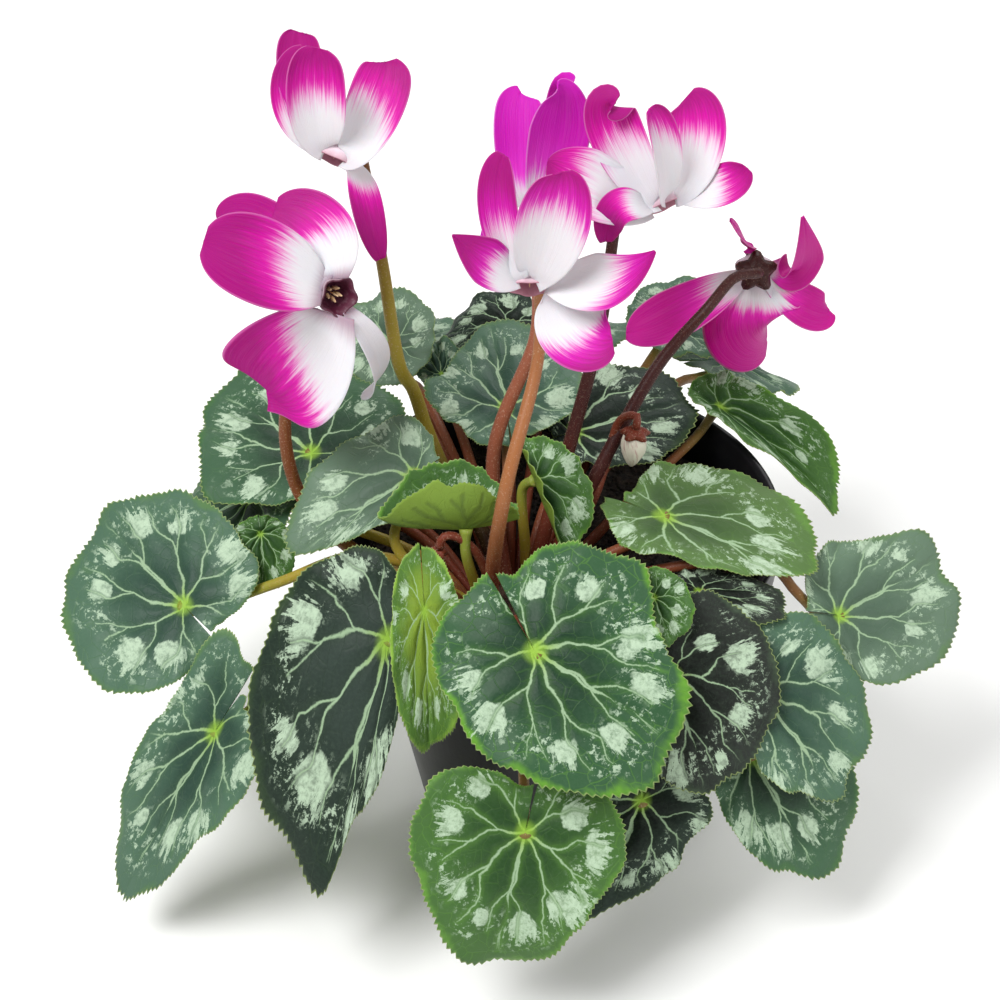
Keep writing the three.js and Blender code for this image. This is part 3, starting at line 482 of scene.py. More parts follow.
def outline(leaf, angle, tooth):
    forward = (1 + np.cos(angle)) / 2
    right = angle > 0
    shorter = np.where(right, max(0, leaf["lop"]), max(0, -leaf["lop"]))
    back = leaf["back"] * (1 - shorter)
    plain = back + (1 - back) * forward ** leaf["taper"]
    crimp = 0.014 * np.sin(11 * angle + leaf["number"]) + 0.008 * np.sin(19 * angle + 2 * leaf["number"])
    reach = plain * (edge_share(leaf, angle) + crimp) * (1 + tooth)
    shifted = angle + math.radians(leaf["slit"]) * (1 - forward) * np.abs(angle) / math.pi
    breadth = leaf["breadth"] * (1 + np.where(right, leaf["skew"], -leaf["skew"]))
    return reach * np.sin(shifted) * breadth * leaf["length"], reach * np.cos(shifted) * leaf["length"]


# %% Bend the flat blade
def even_turn(distance, start, turn):
    small = np.abs(turn) < 1e-6
    safe = np.where(small, 1.0, turn)
    radius = distance / safe
    gone = radius * (np.sin(start + safe) - np.sin(start))
    side = radius * (np.cos(start) - np.cos(start + safe))
    gone = np.where(small, distance * np.cos(start), gone)
    side = np.where(small, distance * np.sin(start), side)
    return gone, side


def blade_points(leaf, x, y, extra=0.0):
    length = leaf["length"]
    curl = np.where(x > 0, leaf["right"], leaf["left"])
    bend = np.where(y > 0, leaf["droop"], leaf["lobes"])
    share = np.abs(y) / length
    gone, dropped = even_turn(np.abs(y), 0.0, bend * share)
    lean = bend * share * np.sign(y)
    side, rise = even_turn(np.abs(x), leaf["fold"], curl * np.abs(x) / (0.7 * length))
    radius = np.hypot(x, y) / length
    ripple = leaf["wave"] * radius ** 3 * np.sin(5 * np.arctan2(x, y) + leaf["number"] * 1.7)
    lift = rise + ripple + extra
    return (np.array(leaf["at"], dtype=float)
            + np.outer(np.sign(x) * side, leaf["across"])
            + np.outer(np.sign(y) * gone + lift * np.sin(lean), leaf["along"])
            + np.outer(lift * np.cos(lean) - dropped, leaf["out"]))


def blade_normals(leaf, x, y, extra):
    step = 0.3
    dx = blade_points(leaf, x + step, y, extra) - blade_points(leaf, x - step, y, extra)
    dy = blade_points(leaf, x, y + step, extra) - blade_points(leaf, x, y - step, extra)
    return unit(np.cross(dx, dy))


print("blade maths ready")

# %% [markdown]
# ### Where the veins run
#
# The main veins fan out from the petiole and fork. They are written once, for one half of a
# blade that is one unit long, as ways through a few points, with the half width at both ends.
# Mirrored, sheared a little and bent by noise in the finish, they look grown. The same veins sink
# into the surface of the mesh.

# %% Vein ways: half widths at the start and the end, then the points
VEIN_WIDTH = 0.72
VEINS = [
    (0.015, 0.003, [(0, 0), (0.012, 0.34), (-0.012, 0.64), (0.01, 0.93)]),
    (0.008, 0.002, [(0.008, 0.42), (0.11, 0.58), (0.12, 0.78)]),
    (0.013, 0.002, [(0, 0), (0.15, 0.16), (0.26, 0.38), (0.26, 0.58), (0.34, 0.74)]),
    (0.008, 0.002, [(0.22, 0.30), (0.40, 0.44), (0.46, 0.60)]),
    (0.012, 0.002, [(0, 0), (0.22, 0.05), (0.42, 0.17), (0.62, 0.22)]),
    (0.006, 0.002, [(0.40, 0.15), (0.56, 0.34)]),
    (0.007, 0.002, [(0.22, 0.05), (0.40, -0.05), (0.60, -0.06)]),
    (0.010, 0.002, [(0, 0), (0.13, -0.14), (0.29, -0.24), (0.45, -0.25)]),
    (0.007, 0.002, [(0.13, -0.14), (0.17, -0.32), (0.27, -0.45)]),
]


def vein_bits(ways):
    bits = []
    for start, end, points in ways:
        widths = np.linspace(start, end, len(points)) * VEIN_WIDTH
        for k in range(len(points) - 1):
            bits.append((*points[k], *points[k + 1], float(widths[k]), float(widths[k + 1])))
    return bits


VEIN_BITS = vein_bits(VEINS)


def vein_shear(name):
    return random.Random(LEAF_NUMBER[name] + 50).uniform(-0.16, 0.16)


def vein_distance(name, x, y):
    y = y + vein_shear(name) * x
    x = np.abs(x)
    least = np.full(x.shape, 9.0)
    for ax, ay, bx, by, start, end in VEIN_BITS:
        dx, dy = bx - ax, by - ay
        share = np.clip(((x - ax) * dx + (y - ay) * dy) / (dx * dx + dy * dy), 0, 1)
        away = np.hypot(x - ax - share * dx, y - ay - share * dy)
        least = np.minimum(least, away - (start + share * (end - start)))
    return least


def unit_chart(leaf, x, y):
    right = x > 0
    breadth = leaf["breadth"] * (1 + np.where(right, leaf["skew"], -leaf["skew"]))
    shorter = np.where(right, max(0, leaf["lop"]), max(0, -leaf["lop"]))
    back = np.where(y < 0, 0.6 / (leaf["back"] * (1 - shorter)), 1.0)
    return x / (leaf["length"] * breadth), y / leaf["length"] * back


print("vein bits:", len(VEIN_BITS))

# %% Build a blade
SLIT_EDGE = math.radians(2.4)
SLIT_FOOT = 0.1
TOOTH = 0.014
VEIN_SINK = 0.7
SKIN_THICKNESS = 0.55


def tooth_heights(count, number):
    rng = np.random.default_rng(number)
    turn = np.arange(count) % 2 * 2.0 - 1
    return TOOTH * (turn * rng.uniform(0.5, 1.3, count) + rng.uniform(-0.5, 0.5, count))


def build_blade(name):
    leaf = read_leaf(name)
    spokes = int(min(300, max(120, leaf["length"] * 5))) // 2 * 2
    rings = np.linspace(0, 1, 23)[1:] ** 0.85
    angles = np.linspace(math.pi - SLIT_EDGE, -math.pi + SLIT_EDGE, spokes - 1)
    angles = np.concatenate([[math.pi], angles])
    scale = min(1.0, 45 / leaf["length"])
    teeth = tooth_heights(spokes, leaf["number"]) * (0.6 + 0.4 * scale)
    xs, ys, rims = [0.0], [0.0], [0.0]
    for ring in rings:
        strength = max(0.0, (ring - 0.93) / 0.07)
        x, y = outline(leaf, angles, teeth * strength)
        depth = np.where(np.arange(spokes) == 0, SLIT_FOOT, 1.0)
        xs.extend(x * ring * depth)
        ys.extend(y * ring * depth)
        rims.extend(np.full(spokes, ring))
    x, y, rim = np.array(xs), np.array(ys), np.array(rims)
    u, v = unit_chart(leaf, x, y)
    away = vein_distance(name, u, v)
    quilt = VEIN_SINK * (np.clip(away / 0.09, 0, 1) ** 0.7 - 0.6) * (1 - rim ** 4)
    turn = np.arctan2(x, y)
    small_waves = 0.7 * np.sin(13 * turn + leaf["number"])
    flutter = rim ** 5 * (small_waves + 0.6 * np.sin(8 * turn + 2.1 * leaf["number"]))
    swell = 0.55 * np.sin(x / 4.1 + leaf["number"]) * np.cos(y / 4.9 + 0.7 * leaf["number"])
    extra = quilt + flutter + swell * np.clip(rim * 3, 0, 1)
    middle = blade_points(leaf, x, y, extra)
    normal = blade_normals(leaf, x, y, extra)
    half = SKIN_THICKNESS / 2 * (1 - 0.5 * rim[:, None] ** 8)
    count = len(x)
    points = np.concatenate([middle + normal * half, middle - normal * half])
    faces = []
    for i in range(spokes):
        n = (i + 1) % spokes
        faces.append((0, 1 + i, 1 + n))
        for ring in range(len(rings) - 1):
            a = 1 + ring * spokes
            faces.append((a + i, a + spokes + i, a + spokes + n, a + n))
    under = [tuple(count + k for k in reversed(face)) for face in faces]
    edge = 1 + (len(rings) - 1) * spokes
    wall = [(edge + i, edge + i + count, edge + (i + 1) % spokes + count, edge + (i + 1) % spokes)
            for i in range(spokes)]
    chart = np.stack([u, v], -1)
    values = {
        "rim": np.concatenate([rim, rim]),
        "top": np.concatenate([np.ones(count), np.zeros(count)]),
    }
    return make_piece(f"leaf_{name}", points, faces + under + wall, np.concatenate([chart, chart]),
                      "blade", values)


blades = {name: build_blade(name) for name in LEAVES}
print("blade faces:", sum(len(piece.data.polygons) for piece in blades.values()))

# %% [markdown]
# ### The marbled skin
#
# The upper side is dark green in the middle, paler outside and bright green along the edge.
# Silver patches lie in a ring between the veins, smooth towards the middle and ragged towards
# the edge. The veins are pale, and yellow-green where they meet. The underside is olive.

# %% Colours of the blades, as red, green and blue amounts
GREY = dict(inner=(0.021, 0.052, 0.035), outer=(0.063, 0.128, 0.080), margin=(0.080, 0.165, 0.060))
PALE = dict(inner=(0.060, 0.102, 0.068), outer=(0.108, 0.172, 0.114), margin=(0.10, 0.18, 0.08))
FRESH = dict(inner=(0.017, 0.054, 0.012), outer=(0.050, 0.124, 0.027), margin=(0.10, 0.24, 0.03))
MEADOW = dict(inner=(0.040, 0.080, 0.026), outer=(0.080, 0.150, 0.044), margin=(0.11, 0.24, 0.04))
# The SHADED_DEEP tone is a dark leaf green darkened to near black with painted shade, for blades that lie
# in shade.
SHADED_DEEP = dict(inner=(0.004, 0.0075, 0.005), outer=(0.018, 0.030, 0.022), margin=(0.028, 0.050, 0.022))
PURPLE = dict(inner=(0.006, 0.008, 0.006), outer=(0.021, 0.025, 0.021), margin=(0.040, 0.060, 0.036))
BLUE = dict(inner=(0.010, 0.036, 0.016), outer=(0.029, 0.084, 0.034), margin=(0.11, 0.28, 0.025))
SLATE = dict(inner=(0.028, 0.042, 0.034), outer=(0.015, 0.026, 0.018), margin=(0.028, 0.050, 0.022))
DUSK = dict(inner=(0.014, 0.034, 0.019), outer=(0.046, 0.103, 0.054), margin=(0.05, 0.13, 0.04))
LIME = dict(inner=(0.19, 0.29, 0.03), outer=(0.07, 0.16, 0.025), margin=(0.20, 0.36, 0.04))
# dark_right, arched_dark and dark_under take the near-black SHADED_DEEP tone of painted shade.
SKINS = {
    "front": BLUE, "front_bottom": FRESH, "wide_right": MEADOW, "folded_right": FRESH,
    "taco_young": FRESH, "cupped_olive": FRESH, "lime_twisted": LIME, "olive_tip": FRESH,
    "small_green": FRESH, "long_dark": SLATE, "dark_teal": DUSK, "dark_right": SHADED_DEEP,
    "arched_dark": SHADED_DEEP, "dark_under": SHADED_DEEP, "dark_front_right": PURPLE, "grey_purple": PURPLE,
    "low_right": DUSK, "under_left_bloom": DUSK, "pointed_silver": PALE, "sage_behind": PALE,
    "far_right": PALE,
}
SILVER = (0.45, 0.58, 0.42)
VEIN_PALE = (0.31, 0.44, 0.27)
VEIN_GREEN = (0.27, 0.44, 0.06)
OLIVE = (0.19, 0.29, 0.04)
TEETH = (0.30, 0.38, 0.14)

# %% Silver patches: centre and radii
# All blades share one half, mirrored, shifted and scaled at random with a fixed seed.
COMMON_PATCHES = [(0.17, 0.66, 0.085, 0.10), (0.42, 0.46, 0.11, 0.10), (0.57, 0.04, 0.10, 0.10),
                  (0.38, -0.22, 0.10, 0.09)]


def patches_of(name):
    rng = random.Random(LEAF_NUMBER[name])
    rows = []
    for side in (1, -1):
        for x, y, rx, ry in COMMON_PATCHES:
            size = rng.uniform(0.6, 1.25)
            shift = [rng.uniform(-0.05, 0.05) for _ in range(2)]
            rows.append((side * x + shift[0], y + shift[1], rx * size, ry * size))
    return rows


# %% The skin of one blade
def vein_field(skin, name, x, y):
    y = y + x * vein_shear(name)
    x = abs(x)
    spot = skin.join(x, y)
    least = None
    for ax, ay, bx, by, start, end in VEIN_BITS:
        dx, dy = bx - ax, by - ay
        size = dx * dx + dy * dy
        from_start = skin.vector("SUBTRACT", spot, (ax, ay, 0))
        share = skin.vector("DOT_PRODUCT", from_start, (dx / size, dy / size, 0), output=1)
        settings = {"operation": "ADD", "use_clamp": True}
        share = skin.node("ShaderNodeMath", settings, {0: share, 1: 0.0})
        nearest = skin.node("ShaderNodeVectorMath", {"operation": "SCALE"},
                            {0: (dx, dy, 0), 3: share})
        away = skin.vector("DISTANCE", from_start, nearest, output=1)
        field = away - (share * (end - start) + start)
        least = field if least is None else least.least(field)
    return least


def patch_field(skin, spot, rows):
    least = None
    for x, y, rx, ry in rows:
        off = skin.vector("SUBTRACT", spot, (x, y, 0))
        off = skin.vector("MULTIPLY", off, (1 / rx, 1 / ry, 0))
        away = skin.vector("LENGTH", off, output=1)
        least = away if least is None else least.least(away)
    return least


def leaf_skin(name):
    tone = SKINS.get(name, GREY)
    skin = Finish(f"leaf_{name}")
    seed = (LEAF_NUMBER[name] * 3.7, LEAF_NUMBER[name] * 1.3, 0)
    chart = skin.chart("blade")
    seeded = skin.vector("ADD", chart, seed)
    bend = skin.vector("SUBTRACT", skin.noise(seeded, 4.5, 2, 0.5, output=1), (0.5, 0.5, 0.5))
    bent = skin.vector("ADD", chart, skin.vector("MULTIPLY", bend, (0.11, 0.11, 0)))
    x, y, _ = skin.split(bent)
    rim = skin.value("rim")
    fuzz = skin.noise(seeded, 60, 3, 0.6)
    ragged = skin.noise(seeded, 17, 6, 0.75)
    broad = skin.noise(seeded, 3.5, 3, 0.5)
    lumps = skin.noise(seeded, 8, 3, 0.6)
    veins = vein_field(skin, name, x, y) + (fuzz - 0.5) * 0.014
    vein = skin.step(veins, 0.006, -0.004)
    glow = skin.step(veins, 0.05, -0.01)
    heart = skin.step(skin.vector("LENGTH", chart, output=1), 0.22, 0.0)
    outer = skin.step(rim, 0.58, 0.86)
    patch = patch_field(skin, bent, patches_of(name))
    ray = skin.vector("MULTIPLY", skin.vector("NORMALIZE", chart), (9.0, 9.0, 0))
    ray = skin.vector("ADD", ray, skin.vector("MULTIPLY", seeded, (2.6, 2.6, 0)))
    rays = skin.noise(ray, 1.5, 4, 0.65)
    torn = (ragged - 0.5) * (0.5 + 3.0 * outer) + (rays - 0.5) * (0.6 + 4.2 * outer)
    torn = torn + (lumps - 0.5) * 1.4
    silver = skin.step(patch + torn, 1.16, 0.92)
    ring = skin.step(rim, 0.48, 0.66) * skin.step(rim, 0.94, 0.80)
    fleck = skin.step(ragged, 0.53, 0.59) * ring * skin.step(broad, 0.42, 0.54)
    silver = silver.most(fleck * 0.85) * (0.45 + 0.55 * skin.step(veins, 0.002, 0.024))
    silver = silver * (0.45 + 0.55 * skin.step(ragged, 0.34, 0.56))
    net = skin.step(skin.net(bent, 9.0), 0.045, 0.0)
    body = skin.mix(skin.step(rim + (broad - 0.5) * 0.5, 0.25, 0.85), tone["inner"], tone["outer"])
    margin = skin.step(rim + (broad - 0.5) * 0.3, 0.93, 1.02)
    body = skin.mix(margin, body, tone["margin"])
    body = skin.mix(glow * (0.34 if tone is FRESH else 0.16), body, tone["margin"])
    speckle = skin.noise(skin.place(), 900, 2, 0.6)
    body = skin.mix((speckle - 0.4) * 0.2, body, (0.12, 0.19, 0.13))
    body = skin.mix(net * (0.1 + 0.2 * outer), body, tone["margin"])
    colour = skin.mix(silver * (0.72 + 0.3 * fuzz), body, SILVER)
    thread = skin.mix(heart, VEIN_PALE, VEIN_GREEN)
    fading = vein * skin.step(rim, 0.97, 0.72)
    colour = skin.mix(fading * 0.85, colour, thread)
    colour = skin.mix(skin.step(heart, 0.55, 1.0) * 0.7, colour, (0.24, 0.42, 0.04))
    colour = skin.mix(skin.step(rim, 0.985, 0.999) * 0.8, colour, TEETH)
    below = skin.mix(glow * 0.8, OLIVE, (0.10, 0.15, 0.03))
    below = skin.mix(broad * 0.35, below, (0.10, 0.20, 0.03))
    height = skin.step(veins, 0.0, 0.06) * 0.5 - net * 0.16 + fuzz * 0.12 + speckle * 0.08
    return skin.surface(
        Base_Color=skin.mix(skin.value("top"), below, colour),
        Roughness=0.42 + 0.14 * silver + 0.1 * fuzz,
        Normal=skin.bump(height, 0.0008, 0.55),
        Specular_IOR_Level=0.1 if tone in (SHADED_DEEP, SLATE, PURPLE) else 0.18,
    )


for name, piece in blades.items():
    dress(piece, leaf_skin(name), f"blade_{name}")
print("skins:", len(blades))

# %% [markdown]
# ## The blooms
#
# Five petals grow from a short tube. In a cyclamen they are turned right back, so the flower
# looks down while its petals point up. Each petal here is a strip bent along a smooth curve from
# the tube, through its middle, to its tip, and cupped across. The rows are the same as those of
# the solids; the strips are finer and thinner, with a waved edge.

# %% One row for each petal
# middle x, y, z, tip x, y, z, width, cup in degrees, azimuth and height of its face
BLOOMS = {
    "left": dict(
        throat=[-71, -20, 229],
        opens=[-60, 15],
        petals=[
            [-90, -25, 243, -110, -29, 256, 28, 30, -80, 45],
            [-76, -12, 243, -91, -3, 250, 25, 25, -80, 40],
            [-85, -22, 207, -96, -19, 192, 42, 30, -80, 30],
            [-90, -7, 241, -110, 12, 235, 20, 20, -80, 45],
            [-61, -20, 209, -66, -4, 179, 12, 30, -30, 10],
        ],
    ),
    "upper_left": dict(
        throat=[-73, 10, 260],
        opens=[-120, -40],
        petals=[
            [-77, 7, 281, -76, 9, 300, 21, 55, -85, 20],
            [-84, 12, 276, -80, 14, 296, 15, 40, -130, 20],
            [-82, 17, 280, -83, 26, 296, 15, 30, -80, 20],
            [-61, 15, 273, -56, 27, 285, 19, 30, -80, 40],
            [-64, 8, 249, -59, 2, 228, 11, 20, -60, 20],
        ],
    ),
    "centre": dict(
        throat=[-12, -31, 240],
        opens=[-90, -35],
        petals=[
            [-6, -37, 265, -3, -38, 286, 24, 45, -90, 35, 0.3],
            [-20, -31, 261, -20, -27, 285, 13, 30, -110, 30],
            [6, -36, 245, 25, -39, 259, 18, 25, -80, 45, 1],
            [1, -34, 231, 13, -42, 229, 27, 25, -90, 40],
            [-23, -37, 252, -35, -41, 266, 15, 20, -100, 50, 1],
        ],
    ),
    "lilac_behind": dict(
        throat=[-10, 35, 227],
        opens=[-90, -50],
        petals=[
            [-15, 39, 246, -14, 50, 260, 17, 35, -90, 30],
            [-3, 31, 252, -3, 28, 276, 21, 30, -80, 35, 0.8],
            [-1, 47, 244, 1, 39, 270, 12, 20, -90, 40],
            [-21, 33, 221, -25, 27, 212, 10, 20, -110, 30],
            [6, 39, 228, 16, 45, 233, 15, 20, -90, 50],
        ],
    ),
    "upper_right": dict(
        throat=[31, 20, 236],
        opens=[-60, -40],
        petals=[
            [18, 22, 256, 15, 24, 272, 18, 20, -90, 40],
            [10, 15, 246, -6, 15, 256, 22, 25, -90, 40, 0.8],
            [30, 14, 256, 25, 12, 277, 15, 60, -50, 30],
            [40, 23, 255, 38, 30, 271, 20, 25, -85, 40],
            [46, 18, 244, 57, 16, 253, 14, 20, -90, 50],
            [19, 9, 244, 13, 15, 226, 12, 20, -90, 50],
        ],
    ),
    "right": dict(
        throat=[66, 51, 190],
        opens=[90, -30],
        petals=[
            [43, 42, 180, 22, 35, 175, 19, 30, -95, 55, 0.4],
            [66, 43, 175, 73, 56, 157, 36, -25, -90, 35],
            [82, 49, 178, 94, 55, 170, 15, 10, -90, 40],
            [80, 48, 192, 79, 37, 221, 17, 20, -60, 20, 1],
            [63, 50, 201, 55, 36, 220, 7, 20, -90, 60],
        ],
    ),
}
PETAL_THICKNESS = 0.5
THROAT_RADIUS, THROAT_DEPTH = 6.2, 8


def read_petal(bloom, row):
    throat = np.array(bloom["throat"], dtype=float)
    opens = direction(*bloom["opens"])
    middle = np.array(row[0:3], dtype=float)
    outward = middle - throat
    outward = unit(outward - outward.dot(opens) * opens)
    root = throat + outward * (THROAT_RADIUS - 0.6) - opens
    return dict(root=root, hip=root + outward * 5 + opens, middle=middle,
                tip=np.array(row[3:6], dtype=float), width=row[6], cup=math.radians(row[7]),
                face=direction(row[8], row[9]), point=row[10] if len(row) > 10 else 0.0)


# %% Petal maths
WIDEST = 0.62


def petal_half_width(petal, share):
    low = 0.36 + 0.64 * np.sin(math.pi / 2 * np.clip(share / WIDEST, 0, 1)) ** 1.3
    past = np.clip((share - WIDEST) / 0.4, 0, 1)
    rounded = np.sqrt(np.clip(1 - past ** 2.2, 0, 1))
    end = rounded + petal["point"] * (1 - past ** 1.4 - rounded)
    return petal["width"] / 2 * np.where(share < WIDEST, low, end)


def petal_points(petal, share, cut, lift=0.0):
    root, hip, middle, tip = petal["root"], petal["hip"], petal["middle"], petal["tip"]
    knee = (8 * middle - root - 3 * hip - tip) / 3
    s = share[:, None]
    spine = ((1 - s) ** 3 * root + 3 * (1 - s) ** 2 * s * hip
             + 3 * (1 - s) * s ** 2 * knee + s ** 3 * tip)
    along = unit(3 * (1 - s) ** 2 * (hip - root) + 6 * (1 - s) * s * (knee - hip)
                 + 3 * s ** 2 * (tip - knee))
    across = unit(np.cross(along, petal["face"]))
    out = np.cross(across, along)
    half = petal_half_width(petal, share)
    reach = half * np.abs(cut)
    side, rise = even_turn(reach, 0.0, petal["cup"] * np.abs(cut) * half * 2 / petal["width"])
    return spine + across * (np.sign(cut) * side)[:, None] + out * (rise + lift)[:, None]


def build_petal(petal, number):
    rows, columns = 44, 26
    share = np.repeat(1 - (1 - np.linspace(0, 1, rows)) ** 1.25, columns)
    cut = np.tile(np.linspace(-1, 1, columns), rows)
    wave = 0.5 * share ** 2 * cut ** 2 * np.sin(7 * share + 2.3 * number + 3 * cut)
    pleat = -0.25 * np.exp(-(cut / 0.1) ** 2) * share
    lift = wave + pleat
    step = 0.004
    centre = petal_points(petal, share, cut, lift)
    along = (petal_points(petal, np.minimum(1, share + step), cut, lift)
             - petal_points(petal, np.maximum(0, share - step), cut, lift))
    across = (petal_points(petal, share, np.minimum(1, cut + 0.02), lift)
              - petal_points(petal, share, np.maximum(-1, cut - 0.02), lift))
    normal = unit(np.cross(across, along))
    normal[-columns:] = normal[-2 * columns:-columns]
    thick = PETAL_THICKNESS / 2 * (1 - 0.6 * np.abs(cut) ** 6)[:, None]
    points = np.concatenate([centre + normal * thick, centre - normal * thick])
    count = rows * columns
    faces = []
    for i in range(rows - 1):
        for j in range(columns - 1):
            a = i * columns + j
            faces.append((a, a + 1, a + columns + 1, a + columns))
    faces += [tuple(count + k for k in reversed(face)) for face in faces]
    rim = list(range(columns))
    rim += [i * columns + columns - 1 for i in range(1, rows)]
    rim += [(rows - 1) * columns + j for j in range(columns - 2, -1, -1)]
    rim += [i * columns for i in range(rows - 2, 0, -1)]
    for k, a in enumerate(rim):
        b = rim[(k + 1) % len(rim)]
        faces.append((a, a + count, b + count, b))
    chart = np.stack([cut, share], -1)
    return points, faces, np.concatenate([chart, chart])


print("petal maths ready")

# %% [markdown]
# ### Petal colours
#
# The petals are white at the throat and magenta outside. The colour breaks off in fine streaks
# along the petal, as if brushed on from the tip. It reaches further down at the petal's edges.
# Painted shade greys the petal bases round the throat.

# %% The finish of a bloom's petals
WHITE = (0.67, 0.65, 0.68)


def petal_finish(name, deep, hot, veil, throat_shade):
    skin = Finish(f"petal_{name}")
    chart = skin.chart("petal")
    cut, share, _ = skin.split(chart)
    number = list(BLOOMS).index(name)
    own = skin.value("number")
    streaked = skin.join(cut * 9 + number * 5 + own * 7.3, share * 1.1 + own)
    streak = skin.noise(streaked, 1.6, 5, 0.7)
    thin = skin.noise(skin.join(cut * 34 + own * 3, share * 2.2), 1.0, 3, 0.6)
    ragged = (streak - 0.5) * 0.42 + (thin - 0.5) * 0.18 + abs(cut) ** 3 * 0.12
    level = share - skin.value("border") + skin.value("slant") * cut + ragged
    tint = skin.step(level, -0.14, 0.12)
    colour = skin.mix(tint, WHITE, veil)
    colour = skin.mix(skin.step(level, -0.04, 0.13), colour, hot)
    colour = skin.mix(skin.step(level, 0.02, 0.34), colour, deep)
    colour = skin.mix((thin - 0.4) * 0.22 * tint, colour, veil)
    # Painted highlight: the petal edges turn a paler pink.
    edge = skin.step(abs(cut), 0.94, 0.99) * tint
    colour = skin.mix(edge * 0.4, colour, veil)
    # Painted shade: the petal bases round the throat turn grey-mauve, as strongly as the bloom's last
    # tone number says.
    base = skin.step(share + (thin - 0.5) * 0.1, 0.24, 0.02)
    colour = skin.mix(base * throat_shade, colour, (0.26, 0.13, 0.20))
    return skin.surface(
        Base_Color=colour,
        Roughness=0.45 + 0.1 * thin,
        Normal=skin.bump(thin * 0.6 + streak * 0.4, 0.0007, 0.4),
        Subsurface_Weight=0.1,
        Subsurface_Scale=0.004,
        Specular_IOR_Level=0.14,
    )


MAGENTA, HOT_PINK, PINK_VEIL = (0.31, 0.0, 0.16), (0.60, 0.002, 0.33), (0.68, 0.22, 0.50)
LILAC, LILAC_HOT, LILAC_VEIL = (0.51, 0.004, 0.40), (0.66, 0.03, 0.52), (0.66, 0.36, 0.62)
# The last number of each row is how strongly painted shade greys the petal bases round the throat.
PETAL_TONES = {
    "left": (MAGENTA, HOT_PINK, PINK_VEIL, 0.75),
    "upper_left": (MAGENTA, HOT_PINK, PINK_VEIL, 0.15),
    "centre": (MAGENTA, (0.58, 0.004, 0.38), PINK_VEIL, 0.15),
    "lilac_behind": (LILAC, LILAC_HOT, LILAC_VEIL, 0.1),
    "upper_right": (MAGENTA, HOT_PINK, PINK_VEIL, 0.15),
    "right": ((0.45, 0.0, 0.22), (0.72, 0.01, 0.42), (0.76, 0.34, 0.56), 0.3),
}

# %% Where the colour starts on each petal, and how much sooner on its right edge
BORDERS = {
    "left": [(0.44, -0.14), (0.58, 0.0), (0.50, 0.30), (0.40, 0.0), (1.2, 0.0)],
    "upper_left": [(0.58, 0.0), (0.5, 0.0), (0.5, 0.0), (0.57, 0.08), (0.42, 0.14)],
    "centre": [(0.64, 0.0), (0.52, 0.0), (0.72, 0.14), (0.74, 0.12), (0.52, 0.0)],
    "lilac_behind": [(0.22, 0.0), (0.24, 0.1), (0.3, 0.0), (0.3, 0.0), (0.3, 0.0)],
    "upper_right": [(0.56, 0.0), (0.62, -0.12), (0.78, 0.1), (0.62, 0.0), (0.66, 0.0), (0.5, 0.0)],
    "right": [(0.30, 0.0), (0.34, 0.1), (0.3, 0.0), (0.1, 0.0), (0.1, 0.0)],
}

# %% Build the blooms
for name, bloom in BLOOMS.items():
    points, faces, chart, number, border, slant = [], [], [], [], [], []
    for k, row in enumerate(bloom["petals"]):
        own_points, own_faces, own_chart = build_petal(read_petal(bloom, row), k)
        start = sum(len(p) for p in points)
        points.append(own_points)
        chart.append(own_chart)
        number.append(np.full(len(own_points), float(k)))
        border.append(np.full(len(own_points), BORDERS[name][k][0]))
        slant.append(np.full(len(own_points), BORDERS[name][k][1]))
        faces += [tuple(i + start for i in face) for face in own_faces]
    values = {"number": number, "border": border, "slant": slant}
    values = {key: np.concatenate(column) for key, column in values.items()}
    piece = make_piece(f"petals_{name}", np.concatenate(points), faces, np.concatenate(chart),
                       "petal", values)
    dress(piece, petal_finish(name, *PETAL_TONES[name]), f"bloom_{name}")
print("blooms:", len(BLOOMS))


# %% [markdown]
# ### Tubes, stamens and calyxes
#
# The tube is a small bell, white outside and wine red at its mouth, with the cream stamens just
# inside. Behind it sits the calyx, a star of five pointed sepals.

# %% Aim a shape
def aimed(points, towards, place):
    towards = unit(np.asarray(towards, dtype=float))
    helper = np.array([1.0, 0, 0]) if abs(towards[0]) < 0.8 else np.array([0, 1.0, 0])
    side = unit(np.cross(helper, towards))
    other = np.cross(towards, side)
    points = np.asarray(points)
    return (np.asarray(place) + points[:, :1] * side + points[:, 1:2] * other
            + points[:, 2:] * towards)


def merged(parts):
    points, faces, start = [], [], 0
    for own_points, own_faces in parts:
        points.append(np.asarray(own_points))
        faces += [tuple(i + start for i in face) for face in own_faces]
        start += len(own_points)
    return np.concatenate(points), faces


# %% Tubes
TUBE_OUTLINE = [
    (0, -THROAT_DEPTH), (2.6, -THROAT_DEPTH), (4.0, -7.2), (5.2, -5.2), (5.9, -2.4), (6.3, 0),
    (6.0, 0.35), (5.4, 0), (4.9, -2.4), (4.2, -4.8), (2.6, -6.8), (0, -7.0),
]


def tube_finish(name, mouth):
    skin = Finish(name)
    inside = skin.value("inside")
    flow = skin.noise(skin.place(), 700, 3, 0.6)
    colour = skin.mix(inside + (flow - 0.5) * 0.4, (0.66, 0.54, 0.60), mouth)
    return skin.surface(Base_Color=colour, Roughness=0.5 + 0.2 * flow)


